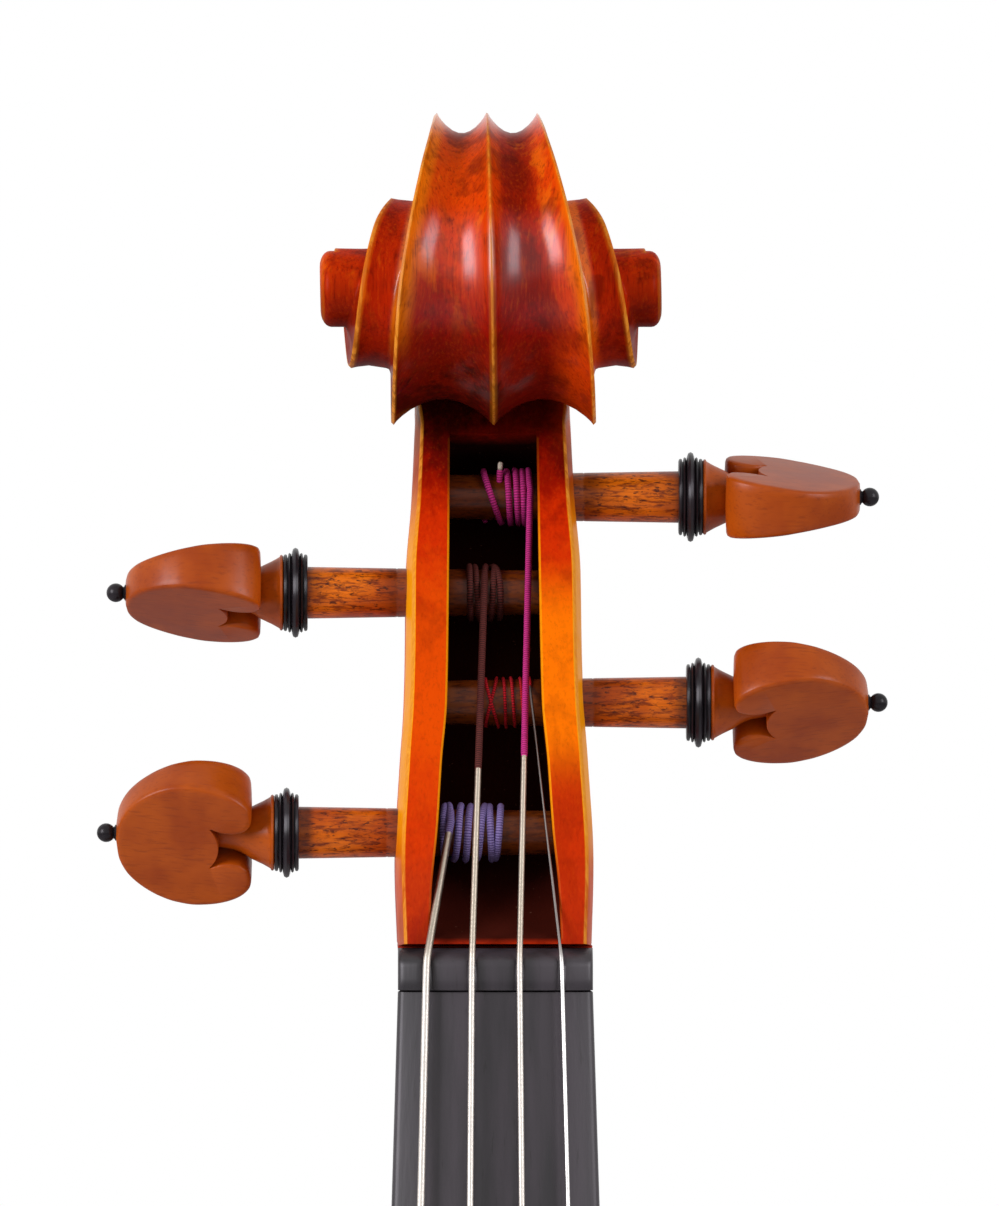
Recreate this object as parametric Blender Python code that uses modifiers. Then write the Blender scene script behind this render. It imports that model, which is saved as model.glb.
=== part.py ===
"""A viola, standing scroll up, its front towards -Y and its treble side towards +X.

The origin is where a hanger carries it, on the centre plane under the two ears of the scroll.
Every length is in metres. The head follows the photograph. The body is a sixteen inch viola.
"""

import math

import bmesh
import bpy
import numpy as np
from mathutils import Matrix, Vector

MM = 0.001

# Room between pieces that touch
GAP = 0.3 * MM

# Scroll: turn 0 is its top, 0.25 its front, and each entry is (turn, radius, half width)
SCROLL_TURNS = (
    (-0.35, 28.2 * MM, 9.7 * MM),
    (-0.25, 26.6 * MM, 9.0 * MM),
    (-0.12, 24.6 * MM, 7.8 * MM),
    (0.0, 23.1 * MM, 6.9 * MM),
    (0.12, 22.0 * MM, 8.7 * MM),
    (0.25, 20.6 * MM, 11.4 * MM),
    (0.38, 19.0 * MM, 12.7 * MM),
    (0.5, 17.8 * MM, 13.2 * MM),
    (0.75, 14.6 * MM, 13.0 * MM),
    (1.0, 12.1 * MM, 13.1 * MM),
    (1.25, 11.2 * MM, 16.1 * MM),
    (1.5, 10.7 * MM, 18.8 * MM),
    (2.0, 7.9 * MM, 20.1 * MM),
    (2.5, 6.4 * MM, 20.8 * MM),
)
SCROLL_START = -0.35
SCROLL_END = 2.5
SCROLL_STEPS = 20
EYE_RADIUS = 4.9 * MM
EYE_HALF_WIDTH = 22.4 * MM
EYE_ROUND = 0.9 * MM
FLUTE_DEPTH = 2.3 * MM

# Pegbox: heights are measured down from the hanger seat
NUT_DROP = 75.0 * MM
CHEEK_SETBACK = 2.6 * MM
CHEEK_RISE = 75.0 * MM
PEGBOX_DEPTH = 28.0 * MM
PEGBOX_HALF_WIDTHS = (
    (75.0 * MM, 12.7 * MM),
    (63.0 * MM, 13.0 * MM),
    (50.0 * MM, 12.1 * MM),
    (41.0 * MM, 11.4 * MM),
    (28.0 * MM, 11.3 * MM),
    (15.0 * MM, 10.5 * MM),
    (0.0, 9.9 * MM),
)
CAVITY_HALF_WIDTHS = (
    (75.0 * MM, 8.6 * MM),
    (68.0 * MM, 8.3 * MM),
    (60.0 * MM, 7.5 * MM),
    (51.0 * MM, 6.9 * MM),
    (43.0 * MM, 6.2 * MM),
    (26.0 * MM, 5.9 * MM),
    (8.0 * MM, 5.7 * MM),
)
CAVITY_DEPTH = 17.5 * MM
CAVITY_TOP = 8.5 * MM

# Pegs: name, side, drop below the seat, collar distance, turn of the head from face on
PEG_HEADS = (
    ("d", 1, 16.6 * MM, 24.4 * MM, -71.0),
    ("g", -1, 29.2 * MM, 24.0 * MM, 67.0),
    ("a", 1, 43.6 * MM, 25.2 * MM, 56.0),
    ("c", -1, 60.6 * MM, 25.3 * MM, 38.0),
)
PEG_INSET = 9.5 * MM
PEG_DIAMETER = 6.8 * MM
PEG_TAPER = 1 / 30
COLLAR_WIDTH = 3.2 * MM
COLLAR_DIAMETER = 11.7 * MM
PEG_NECK = 3.3 * MM
HEAD_LENGTH = 17.8 * MM
HEAD_HEIGHT = 19.5 * MM
HEAD_THICK = 8.3 * MM
HEAD_THIN = 3.3 * MM
PIP_DIAMETER = 2.8 * MM

# Strings: diameter, place across the nut, across the bridge, and at the peg
STRINGS = {
    "c": (1.0 * MM, -9.0 * MM, -18.0 * MM, -5.6 * MM),
    "g": (0.85 * MM, -3.1 * MM, -6.2 * MM, -1.2 * MM),
    "d": (0.8 * MM, 3.1 * MM, 6.2 * MM, 4.9 * MM),
    "a": (0.55 * MM, 8.6 * MM, 18.0 * MM, 4.7 * MM),
}
# Turns round the peg, and which way along the peg they go from where the string leaves
WINDINGS = {"c": (6, 1), "g": (3, 1), "d": (5, -1), "a": (4, -1)}
TURN_SPACE = 0.5 * MM
TURN_POINTS = 24

# Neck, nut and fingerboard
NECK_LENGTH = 150.0 * MM
NECK_SLOPE = math.radians(6.4)
NECK_DEPTH_AT_NUT = 20.5 * MM
NECK_DEPTH_AT_HEEL = 22.5 * MM
HEAD_SET = 32.1 * MM
NUT_THICKNESS = 6.0 * MM
NUT_HEIGHT = 0.9 * MM
NUT_BREAK = 2.2 * MM
NUT_WIDTH = 25.4 * MM
FINGERBOARD_LENGTH = 310.0 * MM
FINGERBOARD_END_WIDTH = 44.0 * MM
FINGERBOARD_SIDE = 5.0 * MM
FINGERBOARD_RADIUS = 42.0 * MM
OVERSTAND = 6.5 * MM
HEEL_WIDTH = 30.0 * MM
HEEL_CAP_WIDTH = 22.0 * MM
HEEL_RISE = 13.0 * MM
HEEL_TONGUE = 18.0 * MM
HEEL_MORTISE = 6.0 * MM

# Body
BODY_LENGTH = 406.0 * MM
LOWER_HALF = 120.0 * MM
LOWER_AT = 82.0 * MM
LOWER_CORNER_HALF = 104.0 * MM
LOWER_CORNER_AT = 161.0 * MM
WAIST_HALF = 66.5 * MM
WAIST_AT = 214.0 * MM
UPPER_CORNER_HALF = 87.5 * MM
UPPER_CORNER_AT = 262.0 * MM
UPPER_HALF = 96.5 * MM
UPPER_AT = 343.0 * MM
CORNER_BLUNT = 7.0 * MM
PLATE_THICKNESS = 3.4 * MM
TOP_ARCH = 13.0 * MM
BACK_ARCH = 11.5 * MM
OVERHANG = 3.0 * MM
RIB_THICKNESS = 1.2 * MM
RIB_HEIGHT = 38.0 * MM
LINING_THICKNESS = 1.8 * MM
LINING_HEIGHT = 7.0 * MM
STOP_LENGTH = 220.0 * MM
F_HOLE_EYE_GAP = 42.0 * MM
SOUND_POST_DIAMETER = 6.5 * MM
BASS_BAR_LENGTH = 290.0 * MM
BASS_BAR_WIDTH = 6.0 * MM
BASS_BAR_HEIGHT = 11.0 * MM
BASS_BAR_OFFSET = 18.0 * MM

# Bridge, tailpiece and what holds them
BRIDGE_WIDTH = 48.0 * MM
BRIDGE_FOOT = 4.6 * MM
BRIDGE_TOP = 1.6 * MM
BRIDGE_CROWN = 38.0 * MM
STRING_RISE = 6.6 * MM
TAILPIECE_LENGTH = 126.0 * MM
TAILPIECE_WIDTH = 46.0 * MM
TAILPIECE_END_WIDTH = 24.0 * MM
TAILPIECE_THICKNESS = 5.0 * MM
TAILPIECE_LIFT = 16.0 * MM
TAIL_GAP = 11.0 * MM
SADDLE_WIDTH = 36.0 * MM
SADDLE_LENGTH = 7.0 * MM
SADDLE_HEIGHT = 6.5 * MM
BUTTON_DIAMETER = 15.0 * MM
BUTTON_LENGTH = 14.0 * MM
BUTTON_PIN = 7.5 * MM
BUTTON_PIN_LENGTH = 24.0 * MM
GUT_DIAMETER = 2.4 * MM
FRET_SETBACK = 9.0 * MM
FRET_WIDTH = 2.0 * MM
FRET_HEIGHT = 1.4 * MM
SLOT_LENGTH = 9.0 * MM
TAIL_CROWN = 60.0 * MM
GUT_SPREAD = 5.0 * MM
GUT_REACH = 8.0 * MM

# Fine tuner
TUNER_HALF = 3.2 * MM
TUNER_PLATE = 2.2 * MM
TUNER_RELIEF = 1.6 * MM
LEVER_HALF = 1.2 * MM
PIVOT_RADIUS = 0.7 * MM
SCREW_SETBACK = 12.0 * MM
SCREW_RADIUS = 1.3 * MM
SCREW_TRAVEL = 1.6 * MM
KNOB_RADIUS = 3.6 * MM
KNOB_HEIGHT = 5.0 * MM

# Chinrest
CHINREST_LIFT = 7.5 * MM
CHINREST_HALF = (42.0 * MM, 33.0 * MM)
CHINREST_CENTRE = (69.0 * MM, 36.0 * MM)
CHINREST_RIM = 8.0 * MM
CHINREST_DISH = 5.0 * MM
CORK_THICKNESS = 2.0 * MM
JAW_THICKNESS = 2.0 * MM
JAW_SPAN = (0.2, 0.36)
JAW_REACH = 3.4 * MM
POST_SPAN = (0.225, 0.33)
POST_OUT = 5.0 * MM
POST_RADIUS = 1.3 * MM
BARREL_RADIUS = 2.7 * MM
BARREL_LENGTH = 30.0 * MM


# Scene and helper functions


def clear_scene():
    for item in list(bpy.data.objects):
        bpy.data.objects.remove(item)


def collection(name):
    made = bpy.data.collections.new(name)
    bpy.context.scene.collection.children.link(made)
    return made


def finish(name, colour, roughness, metallic=0.0):
    """A plain material of one colour."""
    made = bpy.data.materials.new(name)
    made.use_nodes = True
    shader = made.node_tree.nodes["Principled BSDF"]
    shader.inputs["Base Color"].default_value = (*colour, 1.0)
    shader.inputs["Roughness"].default_value = roughness
    shader.inputs["Metallic"].default_value = metallic
    return made


clear_scene()
PARTS = collection("viola")
CUTTERS = collection("cutters")
MAPLE = finish("varnished_maple", (0.62, 0.13, 0.01), 0.2)
SPRUCE = finish("varnished_spruce", (0.66, 0.2, 0.03), 0.25)
PLAIN_SPRUCE = finish("plain_spruce", (0.72, 0.55, 0.33), 0.6)
EBONY = finish("ebony", (0.03, 0.026, 0.028), 0.35)
BOXWOOD = finish("boxwood", (0.36, 0.12, 0.03), 0.4)
PALE_MAPLE = finish("plain_maple", (0.7, 0.5, 0.28), 0.5)
SILVER = finish("string_silver", (0.8, 0.79, 0.77), 0.25, 1.0)
STEEL = finish("plated_steel", (0.7, 0.7, 0.72), 0.2, 1.0)
CORK_FINISH = finish("cork", (0.5, 0.32, 0.17), 0.9)
GUT = finish("black_nylon", (0.02, 0.02, 0.02), 0.4)
SILK = {
    "c": finish("silk_lavender", (0.22, 0.14, 0.3), 0.8),
    "g": finish("silk_brown", (0.08, 0.03, 0.02), 0.8),
    "d": finish("silk_magenta", (0.35, 0.03, 0.18), 0.8),
    "a": finish("silk_red", (0.4, 0.02, 0.03), 0.8),
}


def place(made, material, cutter=False):
    """Puts an object in its collection with its material."""
    for home in list(made.users_collection):
        home.objects.unlink(made)
    (CUTTERS if cutter else PARTS).objects.link(made)
    if material:
        made.data.materials.clear()
        made.data.materials.append(material)
    if cutter:
        made.hide_render = True
        made.display_type = "WIRE"
    return made


def from_bmesh(name, shape, material, cutter=False, origin=(0, 0, 0), smooth=True):
    """An object from a bmesh in world places, with its origin at the point given."""
    bmesh.ops.recalc_face_normals(shape, faces=shape.faces)
    bmesh.ops.translate(shape, vec=-Vector(origin), verts=shape.verts)
    mesh = bpy.data.meshes.new(name)
    shape.to_mesh(mesh)
    shape.free()
    if smooth:
        mesh.shade_smooth()
        mesh.set_sharp_from_angle(angle=math.radians(35))
    made = bpy.data.objects.new(name, mesh)
    made.location = origin
    return place(made, material, cutter)


def add_rings(shape, rings, closed=True, caps=True):
    """Lofts through rings of equally many points."""
    rows = [[shape.verts.new(point) for point in ring] for ring in rings]
    count = len(rows[0])
    for low, high in zip(rows, rows[1:]):
        for i in range(count if closed else count - 1):
            j = (i + 1) % count
            shape.faces.new((low[i], low[j], high[j], high[i]))
    if caps:
        shape.faces.new(rows[0])
        shape.faces.new(rows[-1])
    return rows


def loft(name, rings, material, cutter=False, origin=(0, 0, 0)):
    shape = bmesh.new()
    add_rings(shape, rings)
    return from_bmesh(name, shape, material, cutter, origin)


def box(name, low, high, material, cutter=False):
    """A box between two corners."""
    shape = bmesh.new()
    bmesh.ops.create_cube(shape, size=1.0)
    size = Vector(high) - Vector(low)
    bmesh.ops.scale(shape, vec=size, verts=shape.verts)
    middle = (Vector(high) + Vector(low)) / 2
    bmesh.ops.translate(shape, vec=middle, verts=shape.verts)
    return from_bmesh(name, shape, material, cutter, smooth=False)


def pin(name, start, end, radius, end_radius, material, cutter=False, sides=16):
    """A round bar from one point to another."""
    start = Vector(start)
    run = Vector(end) - start
    shape = bmesh.new()
    bmesh.ops.create_cone(
        shape,
        cap_ends=True,
        segments=sides,
        radius1=radius,
        radius2=end_radius,
        depth=run.length,
    )
    turn = run.to_track_quat("Z", "Y").to_matrix()
    bmesh.ops.rotate(shape, matrix=turn, verts=shape.verts)
    bmesh.ops.translate(shape, vec=start + run / 2, verts=shape.verts)
    return from_bmesh(name, shape, material, cutter)


def boolean(made, other, operation="DIFFERENCE"):
    step = made.modifiers.new(operation.lower(), "BOOLEAN")
    step.operation = operation
    step.object = other
    step.solver = "EXACT"
    return made


def turned(name, profile, material, steps=16, closed=False):
    """A turned shape about Z: (radius, height) down its outer side, and back up a bore when closed."""
    mesh = bpy.data.meshes.new(name)
    points = [(radius, 0.0, height) for radius, height in profile]
    edges = [(i, i + 1) for i in range(len(points) - 1)]
    if closed:
        edges.append((len(points) - 1, 0))
    mesh.from_pydata(points, edges, [])
    made = bpy.data.objects.new(name, mesh)
    screw = made.modifiers.new("turn", "SCREW")
    screw.steps = steps
    screw.render_steps = steps
    screw.use_merge_vertices = True
    screw.merge_threshold = 0.00001
    screw.use_smooth_shade = True
    return place(made, material)


def tube(name, points, diameter, material, resolution=2):
    """A round cord through the points, with filled ends."""
    curve = bpy.data.curves.new(name, "CURVE")
    curve.dimensions = "3D"
    curve.bevel_depth = diameter / 2
    curve.bevel_resolution = resolution
    curve.use_fill_caps = True
    line = curve.splines.new("POLY")
    line.points.add(len(points) - 1)
    for i, point in enumerate(points):
        line.points[i].co = (*point, 1.0)
    return place(bpy.data.objects.new(name, curve), material)


def as_mesh(made):
    """The same object as a mesh with its caps welded."""
    graph = bpy.context.evaluated_depsgraph_get()
    mesh = bpy.data.meshes.new_from_object(made.evaluated_get(graph))
    shape = bmesh.new()
    shape.from_mesh(mesh)
    bmesh.ops.remove_doubles(shape, verts=shape.verts, dist=0.000001)
    shape.to_mesh(mesh)
    shape.free()
    name = made.name
    matrix = made.matrix_world.copy()
    bpy.data.objects.remove(made)
    new = bpy.data.objects.new(name, mesh)
    new.matrix_world = matrix
    return new


def flat(name, outlines, low, high, material, cutter=False):
    """A flat piece in the X-Z plane from outlines of (x, z), between two depths along Y."""
    curve = bpy.data.curves.new(name, "CURVE")
    curve.dimensions = "2D"
    curve.fill_mode = "BOTH"
    curve.extrude = (high - low) / 2
    for outline in outlines:
        line = curve.splines.new("POLY")
        line.points.add(len(outline) - 1)
        line.use_cyclic_u = True
        for i, (x, z) in enumerate(outline):
            line.points[i].co = (x, z, 0.0, 1.0)
    made = bpy.data.objects.new(name, curve)
    made.rotation_euler = (math.pi / 2, 0.0, 0.0)
    made.location = (0.0, (high + low) / 2, 0.0)
    place(made, material, cutter)
    bpy.context.view_layer.update()
    return place(as_mesh(made), material, cutter)


def bezier(p0, p1, p2, p3, t):
    s = 1 - t
    return tuple(
        s**3 * a + 3 * s * s * t * b + 3 * s * t * t * c + t**3 * d
        for a, b, c, d in zip(p0, p1, p2, p3)
    )


def smooth_path(points, steps):
    """A smooth line through points, with so many steps from one to the next."""
    points = [Vector(point) for point in points]
    ends = [2 * points[0] - points[1], *points, 2 * points[-1] - points[-2]]
    path = []
    for i in range(1, len(ends) - 2):
        a, b, c, d = ends[i - 1 : i + 3]
        for k in range(steps):
            t = k / steps
            path.append(
                0.5
                * (
                    2 * b
                    + (c - a) * t
                    + (2 * a - 5 * b + 4 * c - d) * t * t
                    + (3 * b - a - 3 * c + d) * t**3
                )
            )
    path.append(points[-1])
    return path


def along(table, value):
    """Reads a two-column table between its rows."""
    rows = sorted(table)
    return float(np.interp(value, [row[0] for row in rows], [row[1] for row in rows]))


# Neck and pegbox lines, all in the side view as (y, z)

NUT_Z = -NUT_DROP
EYE_Z = along([(row[0], row[1]) for row in SCROLL_TURNS], 1.5)
SLOPE = math.tan(NECK_SLOPE)
NECK_JOINT_Z = NUT_Z - NUT_THICKNESS
BODY_TOP = NECK_JOINT_Z - NECK_LENGTH * math.cos(NECK_SLOPE)
BODY_BOTTOM = BODY_TOP - BODY_LENGTH


def crown_y(z):
    """Front of the fingerboard's crown at a height."""
    return -HEAD_SET - (NUT_Z - z) * SLOPE


def fingerboard_width(z):
    share = (NECK_JOINT_Z - z) / (FINGERBOARD_LENGTH * math.cos(NECK_SLOPE))
    return NUT_WIDTH + (FINGERBOARD_END_WIDTH - NUT_WIDTH) * share


def crown_drop(x, radius=FINGERBOARD_RADIUS):
    return radius - math.sqrt(radius * radius - x * x)


def glue_y(z):
    """Back of the fingerboard, where the neck begins."""
    return crown_y(z) + crown_drop(fingerboard_width(z) / 2) + FINGERBOARD_SIDE


def scroll_point(turn):
    """(radius, half width) of the scroll at a turn."""
    turns = [row[0] for row in SCROLL_TURNS]
    radius = float(np.interp(turn, turns, [row[1] for row in SCROLL_TURNS]))
    width = float(np.interp(turn, turns, [row[2] for row in SCROLL_TURNS]))
    return radius, width


def on_scroll(turn, x, radius):
    """A point of the scroll: turn 0 is up and 0.25 is the front."""
    angle = 2 * math.pi * turn
    return Vector((x, -radius * math.sin(angle), EYE_Z + radius * math.cos(angle)))


START_POINT = on_scroll(SCROLL_START, 0, scroll_point(SCROLL_START)[0])
INNER_POINT = on_scroll(SCROLL_START, 0, scroll_point(SCROLL_START + 1)[0])
CHEEK_FOOT = (crown_y(NUT_Z) + CHEEK_SETBACK, NUT_Z)
CHEEK_HEAD = (INNER_POINT.y - 1.6 * MM, INNER_POINT.z - 1.6 * MM)


def cheek_front(s):
    """Front edge of the cheeks, from the nut at 0 to the scroll at 1."""
    rise = CHEEK_RISE
    p1 = (CHEEK_FOOT[0] + 0.115 * rise, CHEEK_FOOT[1] + 0.33 * rise)
    p2 = (CHEEK_HEAD[0] - 0.235 * rise, CHEEK_HEAD[1] - 0.27 * rise)
    return bezier(CHEEK_FOOT, p1, p2, CHEEK_HEAD, s)


def head_back(s):
    """Back of the pegbox, from the chin at 0 to the scroll at 1."""
    low = (CHEEK_FOOT[0] + PEGBOX_DEPTH, NUT_Z)
    top = (START_POINT.y, START_POINT.z)
    p1 = (low[0] + 0.15 * CHEEK_RISE, low[1] + 0.28 * CHEEK_RISE)
    p2 = (top[0] - 0.05 * CHEEK_RISE, top[1] - 0.18 * CHEEK_RISE)
    return bezier(low, p1, p2, top, s)


def front_y(z):
    """Depth of the cheeks' front edge at a height."""
    line = [cheek_front(k / 60) for k in range(61)]
    return float(np.interp(z, [point[1] for point in line], [point[0] for point in line]))


def flute(share, depth):
    """How far the fluted back lies under its edges at a share of the half width."""
    return depth * math.sin(math.pi * min(max(share, 0.0), 1.0)) ** 0.8


FLUTE_SHARES = (1.0, 0.78, 0.5, 0.22, 0.0)
FRONT_SHARES = (0.0, 0.32, 0.68, 1.0)


def flute_depth_at(turn):
    """The two flutes fade out where the first turn runs into the throat."""
    fade = min(max((SCROLL_START + 1 - turn) / 0.12, 0.0), 1.0)
    return FLUTE_DEPTH * fade * scroll_point(turn)[1] / scroll_point(0.5)[1]


def pegbox_ring(s):
    """Half a section of the pegbox: across the front, round the cheek, and along the fluted back."""
    front = cheek_front(s)
    back = head_back(s)
    width = along(PEGBOX_HALF_WIDTHS, -front[1])
    last = scroll_point(SCROLL_START)[1]
    width += (last - width) * max(s - 0.8, 0.0) / 0.2
    depth = flute_depth_at(SCROLL_START) * min(s / 0.15, 1.0)
    across = Vector((0, front[0] - back[0], front[1] - back[1])).normalized()
    ring = [Vector((share * width, *front)) for share in FRONT_SHARES]
    for share in FLUTE_SHARES:
        ring.append(Vector((share * width, *back)) + across * flute(share, depth))
    return ring


def neck_ring(z, back_y, half_width):
    """Half a section of the neck: flat under the fingerboard and round behind."""
    front = glue_y(z) + GAP
    ring = [Vector((share * half_width, front, z)) for share in FRONT_SHARES]
    shoulder = front + 0.2 * (back_y - front)
    for k in range(5):
        angle = k * math.pi / 8
        x = half_width * math.cos(angle) ** 0.8
        ring.append(Vector((x, shoulder + (back_y - shoulder) * math.sin(angle), z)))
    ring[-1].x = 0.0
    return ring


# The body's depths: front edge, inside of the top, inside of the back
TOP_EDGE_Y = glue_y(BODY_TOP) + OVERSTAND
TOP_INNER_Y = TOP_EDGE_Y + PLATE_THICKNESS
BACK_INNER_Y = TOP_INNER_Y + RIB_HEIGHT + 2 * GAP


def neck_back(z):
    """Back of the neck at a height between the nut and the heel."""
    share = (NECK_JOINT_Z - z) / NECK_LENGTH
    depth = NECK_DEPTH_AT_NUT + (NECK_DEPTH_AT_HEEL - NECK_DEPTH_AT_NUT) * share
    return crown_y(z) + depth


# Head: scroll, pegbox and neck in one piece


def scroll_half(shape):
    """The right half of the scroll: a stair wound from the pegbox's last ring to the eye."""
    steps = SCROLL_STEPS
    last = round((SCROLL_END - SCROLL_START) * steps)
    rows = []
    for i in range(last + 1):
        turn = SCROLL_START + i / steps
        radius, width = scroll_point(turn)
        if i < steps:
            depth = flute_depth_at(turn)
            row = [
                shape.verts.new(on_scroll(turn, share * width, radius - flute(share, depth)))
                for share in reversed(FLUTE_SHARES)
            ]
        elif i == steps:
            inner = scroll_point(SCROLL_START)[1]
            row = [
                shape.verts.new(on_scroll(turn, share * inner, radius)) for share in FRONT_SHARES
            ]
            row.append(shape.verts.new(on_scroll(turn, width, radius)))
        else:
            below = scroll_point(turn - 1)[1]
            row = [
                shape.verts.new(on_scroll(turn, below, radius)),
                shape.verts.new(on_scroll(turn, width, radius)),
            ]
        rows.append(row)
    for i in range(last):
        low, high = rows[i], rows[i + 1]
        if i == steps:
            low = low[-2:]
        for a in range(len(low) - 1):
            shape.faces.new((low[a], low[a + 1], high[a + 1], high[a]))
    for i in range(last - steps):
        a, b = rows[i][-1], rows[i + 1][-1]
        c = rows[i + 1 + steps][0]
        d = rows[i + steps][0] if i > 0 else rows[steps][3]
        shape.faces.new((a, d, c, b))
    close_eye(shape, rows, last, steps)
    outer = list(reversed(rows[0]))
    inner = rows[steps][:4]
    return inner + outer


def close_eye(shape, rows, last, steps):
    """The side of the last turn, the button of the eye and its rounded rim."""
    base = []
    for i in range(last - steps, last + 1):
        turn = SCROLL_START + i / steps
        width = scroll_point(turn)[1]
        base.append(shape.verts.new(on_scroll(turn, width, EYE_RADIUS)))
    first = last - steps
    shape.faces.new((rows[first][-1], rows[last][0], base[0], base[1], rows[first + 1][-1]))
    for k in range(1, steps):
        i = first + k
        shape.faces.new((rows[i][-1], base[k], base[k + 1], rows[i + 1][-1]))
    rim, edge = [], []
    for k in range(steps):
        turn = SCROLL_START + (last - steps + k) / steps
        rim.append(shape.verts.new(on_scroll(turn, EYE_HALF_WIDTH - EYE_ROUND, EYE_RADIUS)))
        edge.append(shape.verts.new(on_scroll(turn, EYE_HALF_WIDTH, EYE_RADIUS - EYE_ROUND)))
    for k in range(steps):
        j = (k + 1) % steps
        shape.faces.new((base[k], rim[k], rim[j], base[k + 1]))
        shape.faces.new((rim[k], edge[k], edge[j], rim[j]))
    shape.faces.new(edge)
    shape.faces.new((base[0], base[steps], rim[0]))
    shape.faces.new((rows[last][0], rows[last][1], base[steps], base[0]))


def heel_rings():
    """Half sections of the neck from the nut's ledge down to the end of the mortise tongue."""
    rings = []
    ledge = NUT_Z - GAP
    chin = (CHEEK_FOOT[0] + PEGBOX_DEPTH, neck_back(ledge - 14 * MM))
    half = along(PEGBOX_HALF_WIDTHS, NUT_DROP)
    for drop, share in ((0.0, 0.0), (4.0 * MM, 0.12), (8.0 * MM, 0.5), (11.0 * MM, 0.85)):
        z = ledge - drop
        back = chin[0] + (chin[1] - chin[0]) * share
        rings.append(neck_ring(z, back, half))
    heel_top = BODY_TOP + HEEL_RISE
    for k in range(4):
        z = ledge - 14 * MM - (ledge - 14 * MM - heel_top - 22 * MM) * k / 3
        rings.append(neck_ring(z, neck_back(z), fingerboard_width(z) / 2 - 0.4 * MM))
    start = neck_back(heel_top + 22 * MM)
    end = BACK_INNER_Y - GAP
    for rise, share in ((11.0 * MM, 0.08), (4.5 * MM, 0.3), (1.2 * MM, 0.66), (0.0, 1.0)):
        z = heel_top + rise
        width = HEEL_CAP_WIDTH + (HEEL_WIDTH - HEEL_CAP_WIDTH) * (1 - share)
        rings.append(neck_ring(z, start + (end - start) * share, width / 2))
    rings.append(neck_ring(BODY_TOP + GAP, end, HEEL_CAP_WIDTH / 2))
    return rings


def neck_and_scroll():
    shape = bmesh.new()
    top = scroll_half(shape)
    rows = [[shape.verts.new(point) for point in ring] for ring in reversed(heel_rings())]
    stations = 10
    for k in range(stations):
        rows.append([shape.verts.new(point) for point in pegbox_ring(k / stations)])
    rows.append(top)
    for low, high in zip(rows, rows[1:]):
        for i in range(len(low) - 1):
            shape.faces.new((low[i], low[i + 1], high[i + 1], high[i]))
    shape.faces.new(rows[0])
    bmesh.ops.mirror(
        shape,
        geom=shape.verts[:] + shape.edges[:] + shape.faces[:],
        merge_dist=0.000001,
        axis="X",
    )
    made = from_bmesh("neck_and_scroll", shape, MAPLE)
    tongue = box(
        "neck_tongue",
        (-HEEL_TONGUE / 2, TOP_INNER_Y + GAP, BODY_TOP - OVERHANG - HEEL_MORTISE),
        (HEEL_TONGUE / 2, BACK_INNER_Y - 2 * GAP, BODY_TOP + 2 * MM),
        None,
        cutter=True,
    )
    boolean(made, tongue, "UNION")
    boolean(made, cavity_cutter())
    for name, side, drop, collar, turn in PEG_HEADS:
        boolean(made, peg_cutter(name, GAP))
    return made


def cavity_cutter():
    """The pegbox's hollow: its floor rises to the nut and slopes up under the scroll."""
    rings = []
    stations = (
        (0.0, 0.02), (0.05, 0.5), (0.12, 0.82), (0.25, 0.97), (0.5, 1.0), (0.75, 1.0), (0.9, 0.93),
        (0.96, 0.75), (1.0, 0.1),
    )
    low = -NUT_Z - 1.2 * MM
    for share, depth in stations:
        z = -(low + (CAVITY_TOP - low) * share)
        front = front_y(z)
        width = along(CAVITY_HALF_WIDTHS, -z)
        floor = front + CAVITY_DEPTH * depth
        out = front - 8 * MM
        rings.append([(-width, out, z), (width, out, z), (width, floor, z), (-width, floor, z)])
    return loft("cavity_cutter", rings, None, cutter=True)


# Pegs


def peg_centre(drop):
    return Vector((0.0, front_y(-drop) + PEG_INSET, -drop))


def peg_radius(distance, collar):
    """Radius of a peg's shaft at a signed distance from the centre plane towards its head."""
    return PEG_DIAMETER / 2 - (collar - distance) * PEG_TAPER / 2


def peg_cutter(name, room):
    """The tapered hole of a peg through both cheeks."""
    side, drop, collar = next(row[1:4] for row in PEG_HEADS if row[0] == name)
    centre = peg_centre(drop)
    reach = 16 * MM
    ends = [centre + Vector((side * way * reach, 0, 0)) for way in (-1, 1)]
    radii = [peg_radius(way * reach, collar) + room for way in (-1, 1)]
    return pin(f"peg_hole_{name}", ends[0], ends[1], radii[0], radii[1], None, cutter=True)


def peg_head_outline():
    """Half of the heart from its slot round the lobe to the tip, as (distance, half height)."""
    half = (
        (5.0, 0.0), (5.3, 1.6), (6.2, 3.1), (4.4, 2.9), (2.4, 2.85), (0.9, 3.3),
        (0.15, 4.4), (0.0, 5.9), (0.9, 7.7), (3.0, 9.1), (6.0, 9.75), (9.2, 9.4),
        (12.4, 8.0), (15.2, 5.7), (17.1, 3.0), (17.8, 0.0),
    )
    long, tall = HEAD_LENGTH / 17.8, HEAD_HEIGHT / 19.5
    right = [(out * long, up * tall) for out, up in half]
    left = [(out, -up) for out, up in reversed(right[1:-1])]
    return right + left


def peg_head(name, start, matrix):
    """The flat heart, thick beside the stem and thin at its tip."""
    outline = [(up, start + out) for out, up in peg_head_outline()]
    made = flat(name, [outline], -HEAD_THICK / 2, HEAD_THICK / 2, None, cutter=True)
    taper = 1 - HEAD_THIN / HEAD_THICK
    made.data.transform(made.matrix_world)
    made.matrix_world = Matrix()
    for point in made.data.vertices:
        share = (point.co.z - start) / HEAD_LENGTH
        point.co.y *= 1 - taper * share
    made.matrix_world = matrix
    return made


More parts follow.
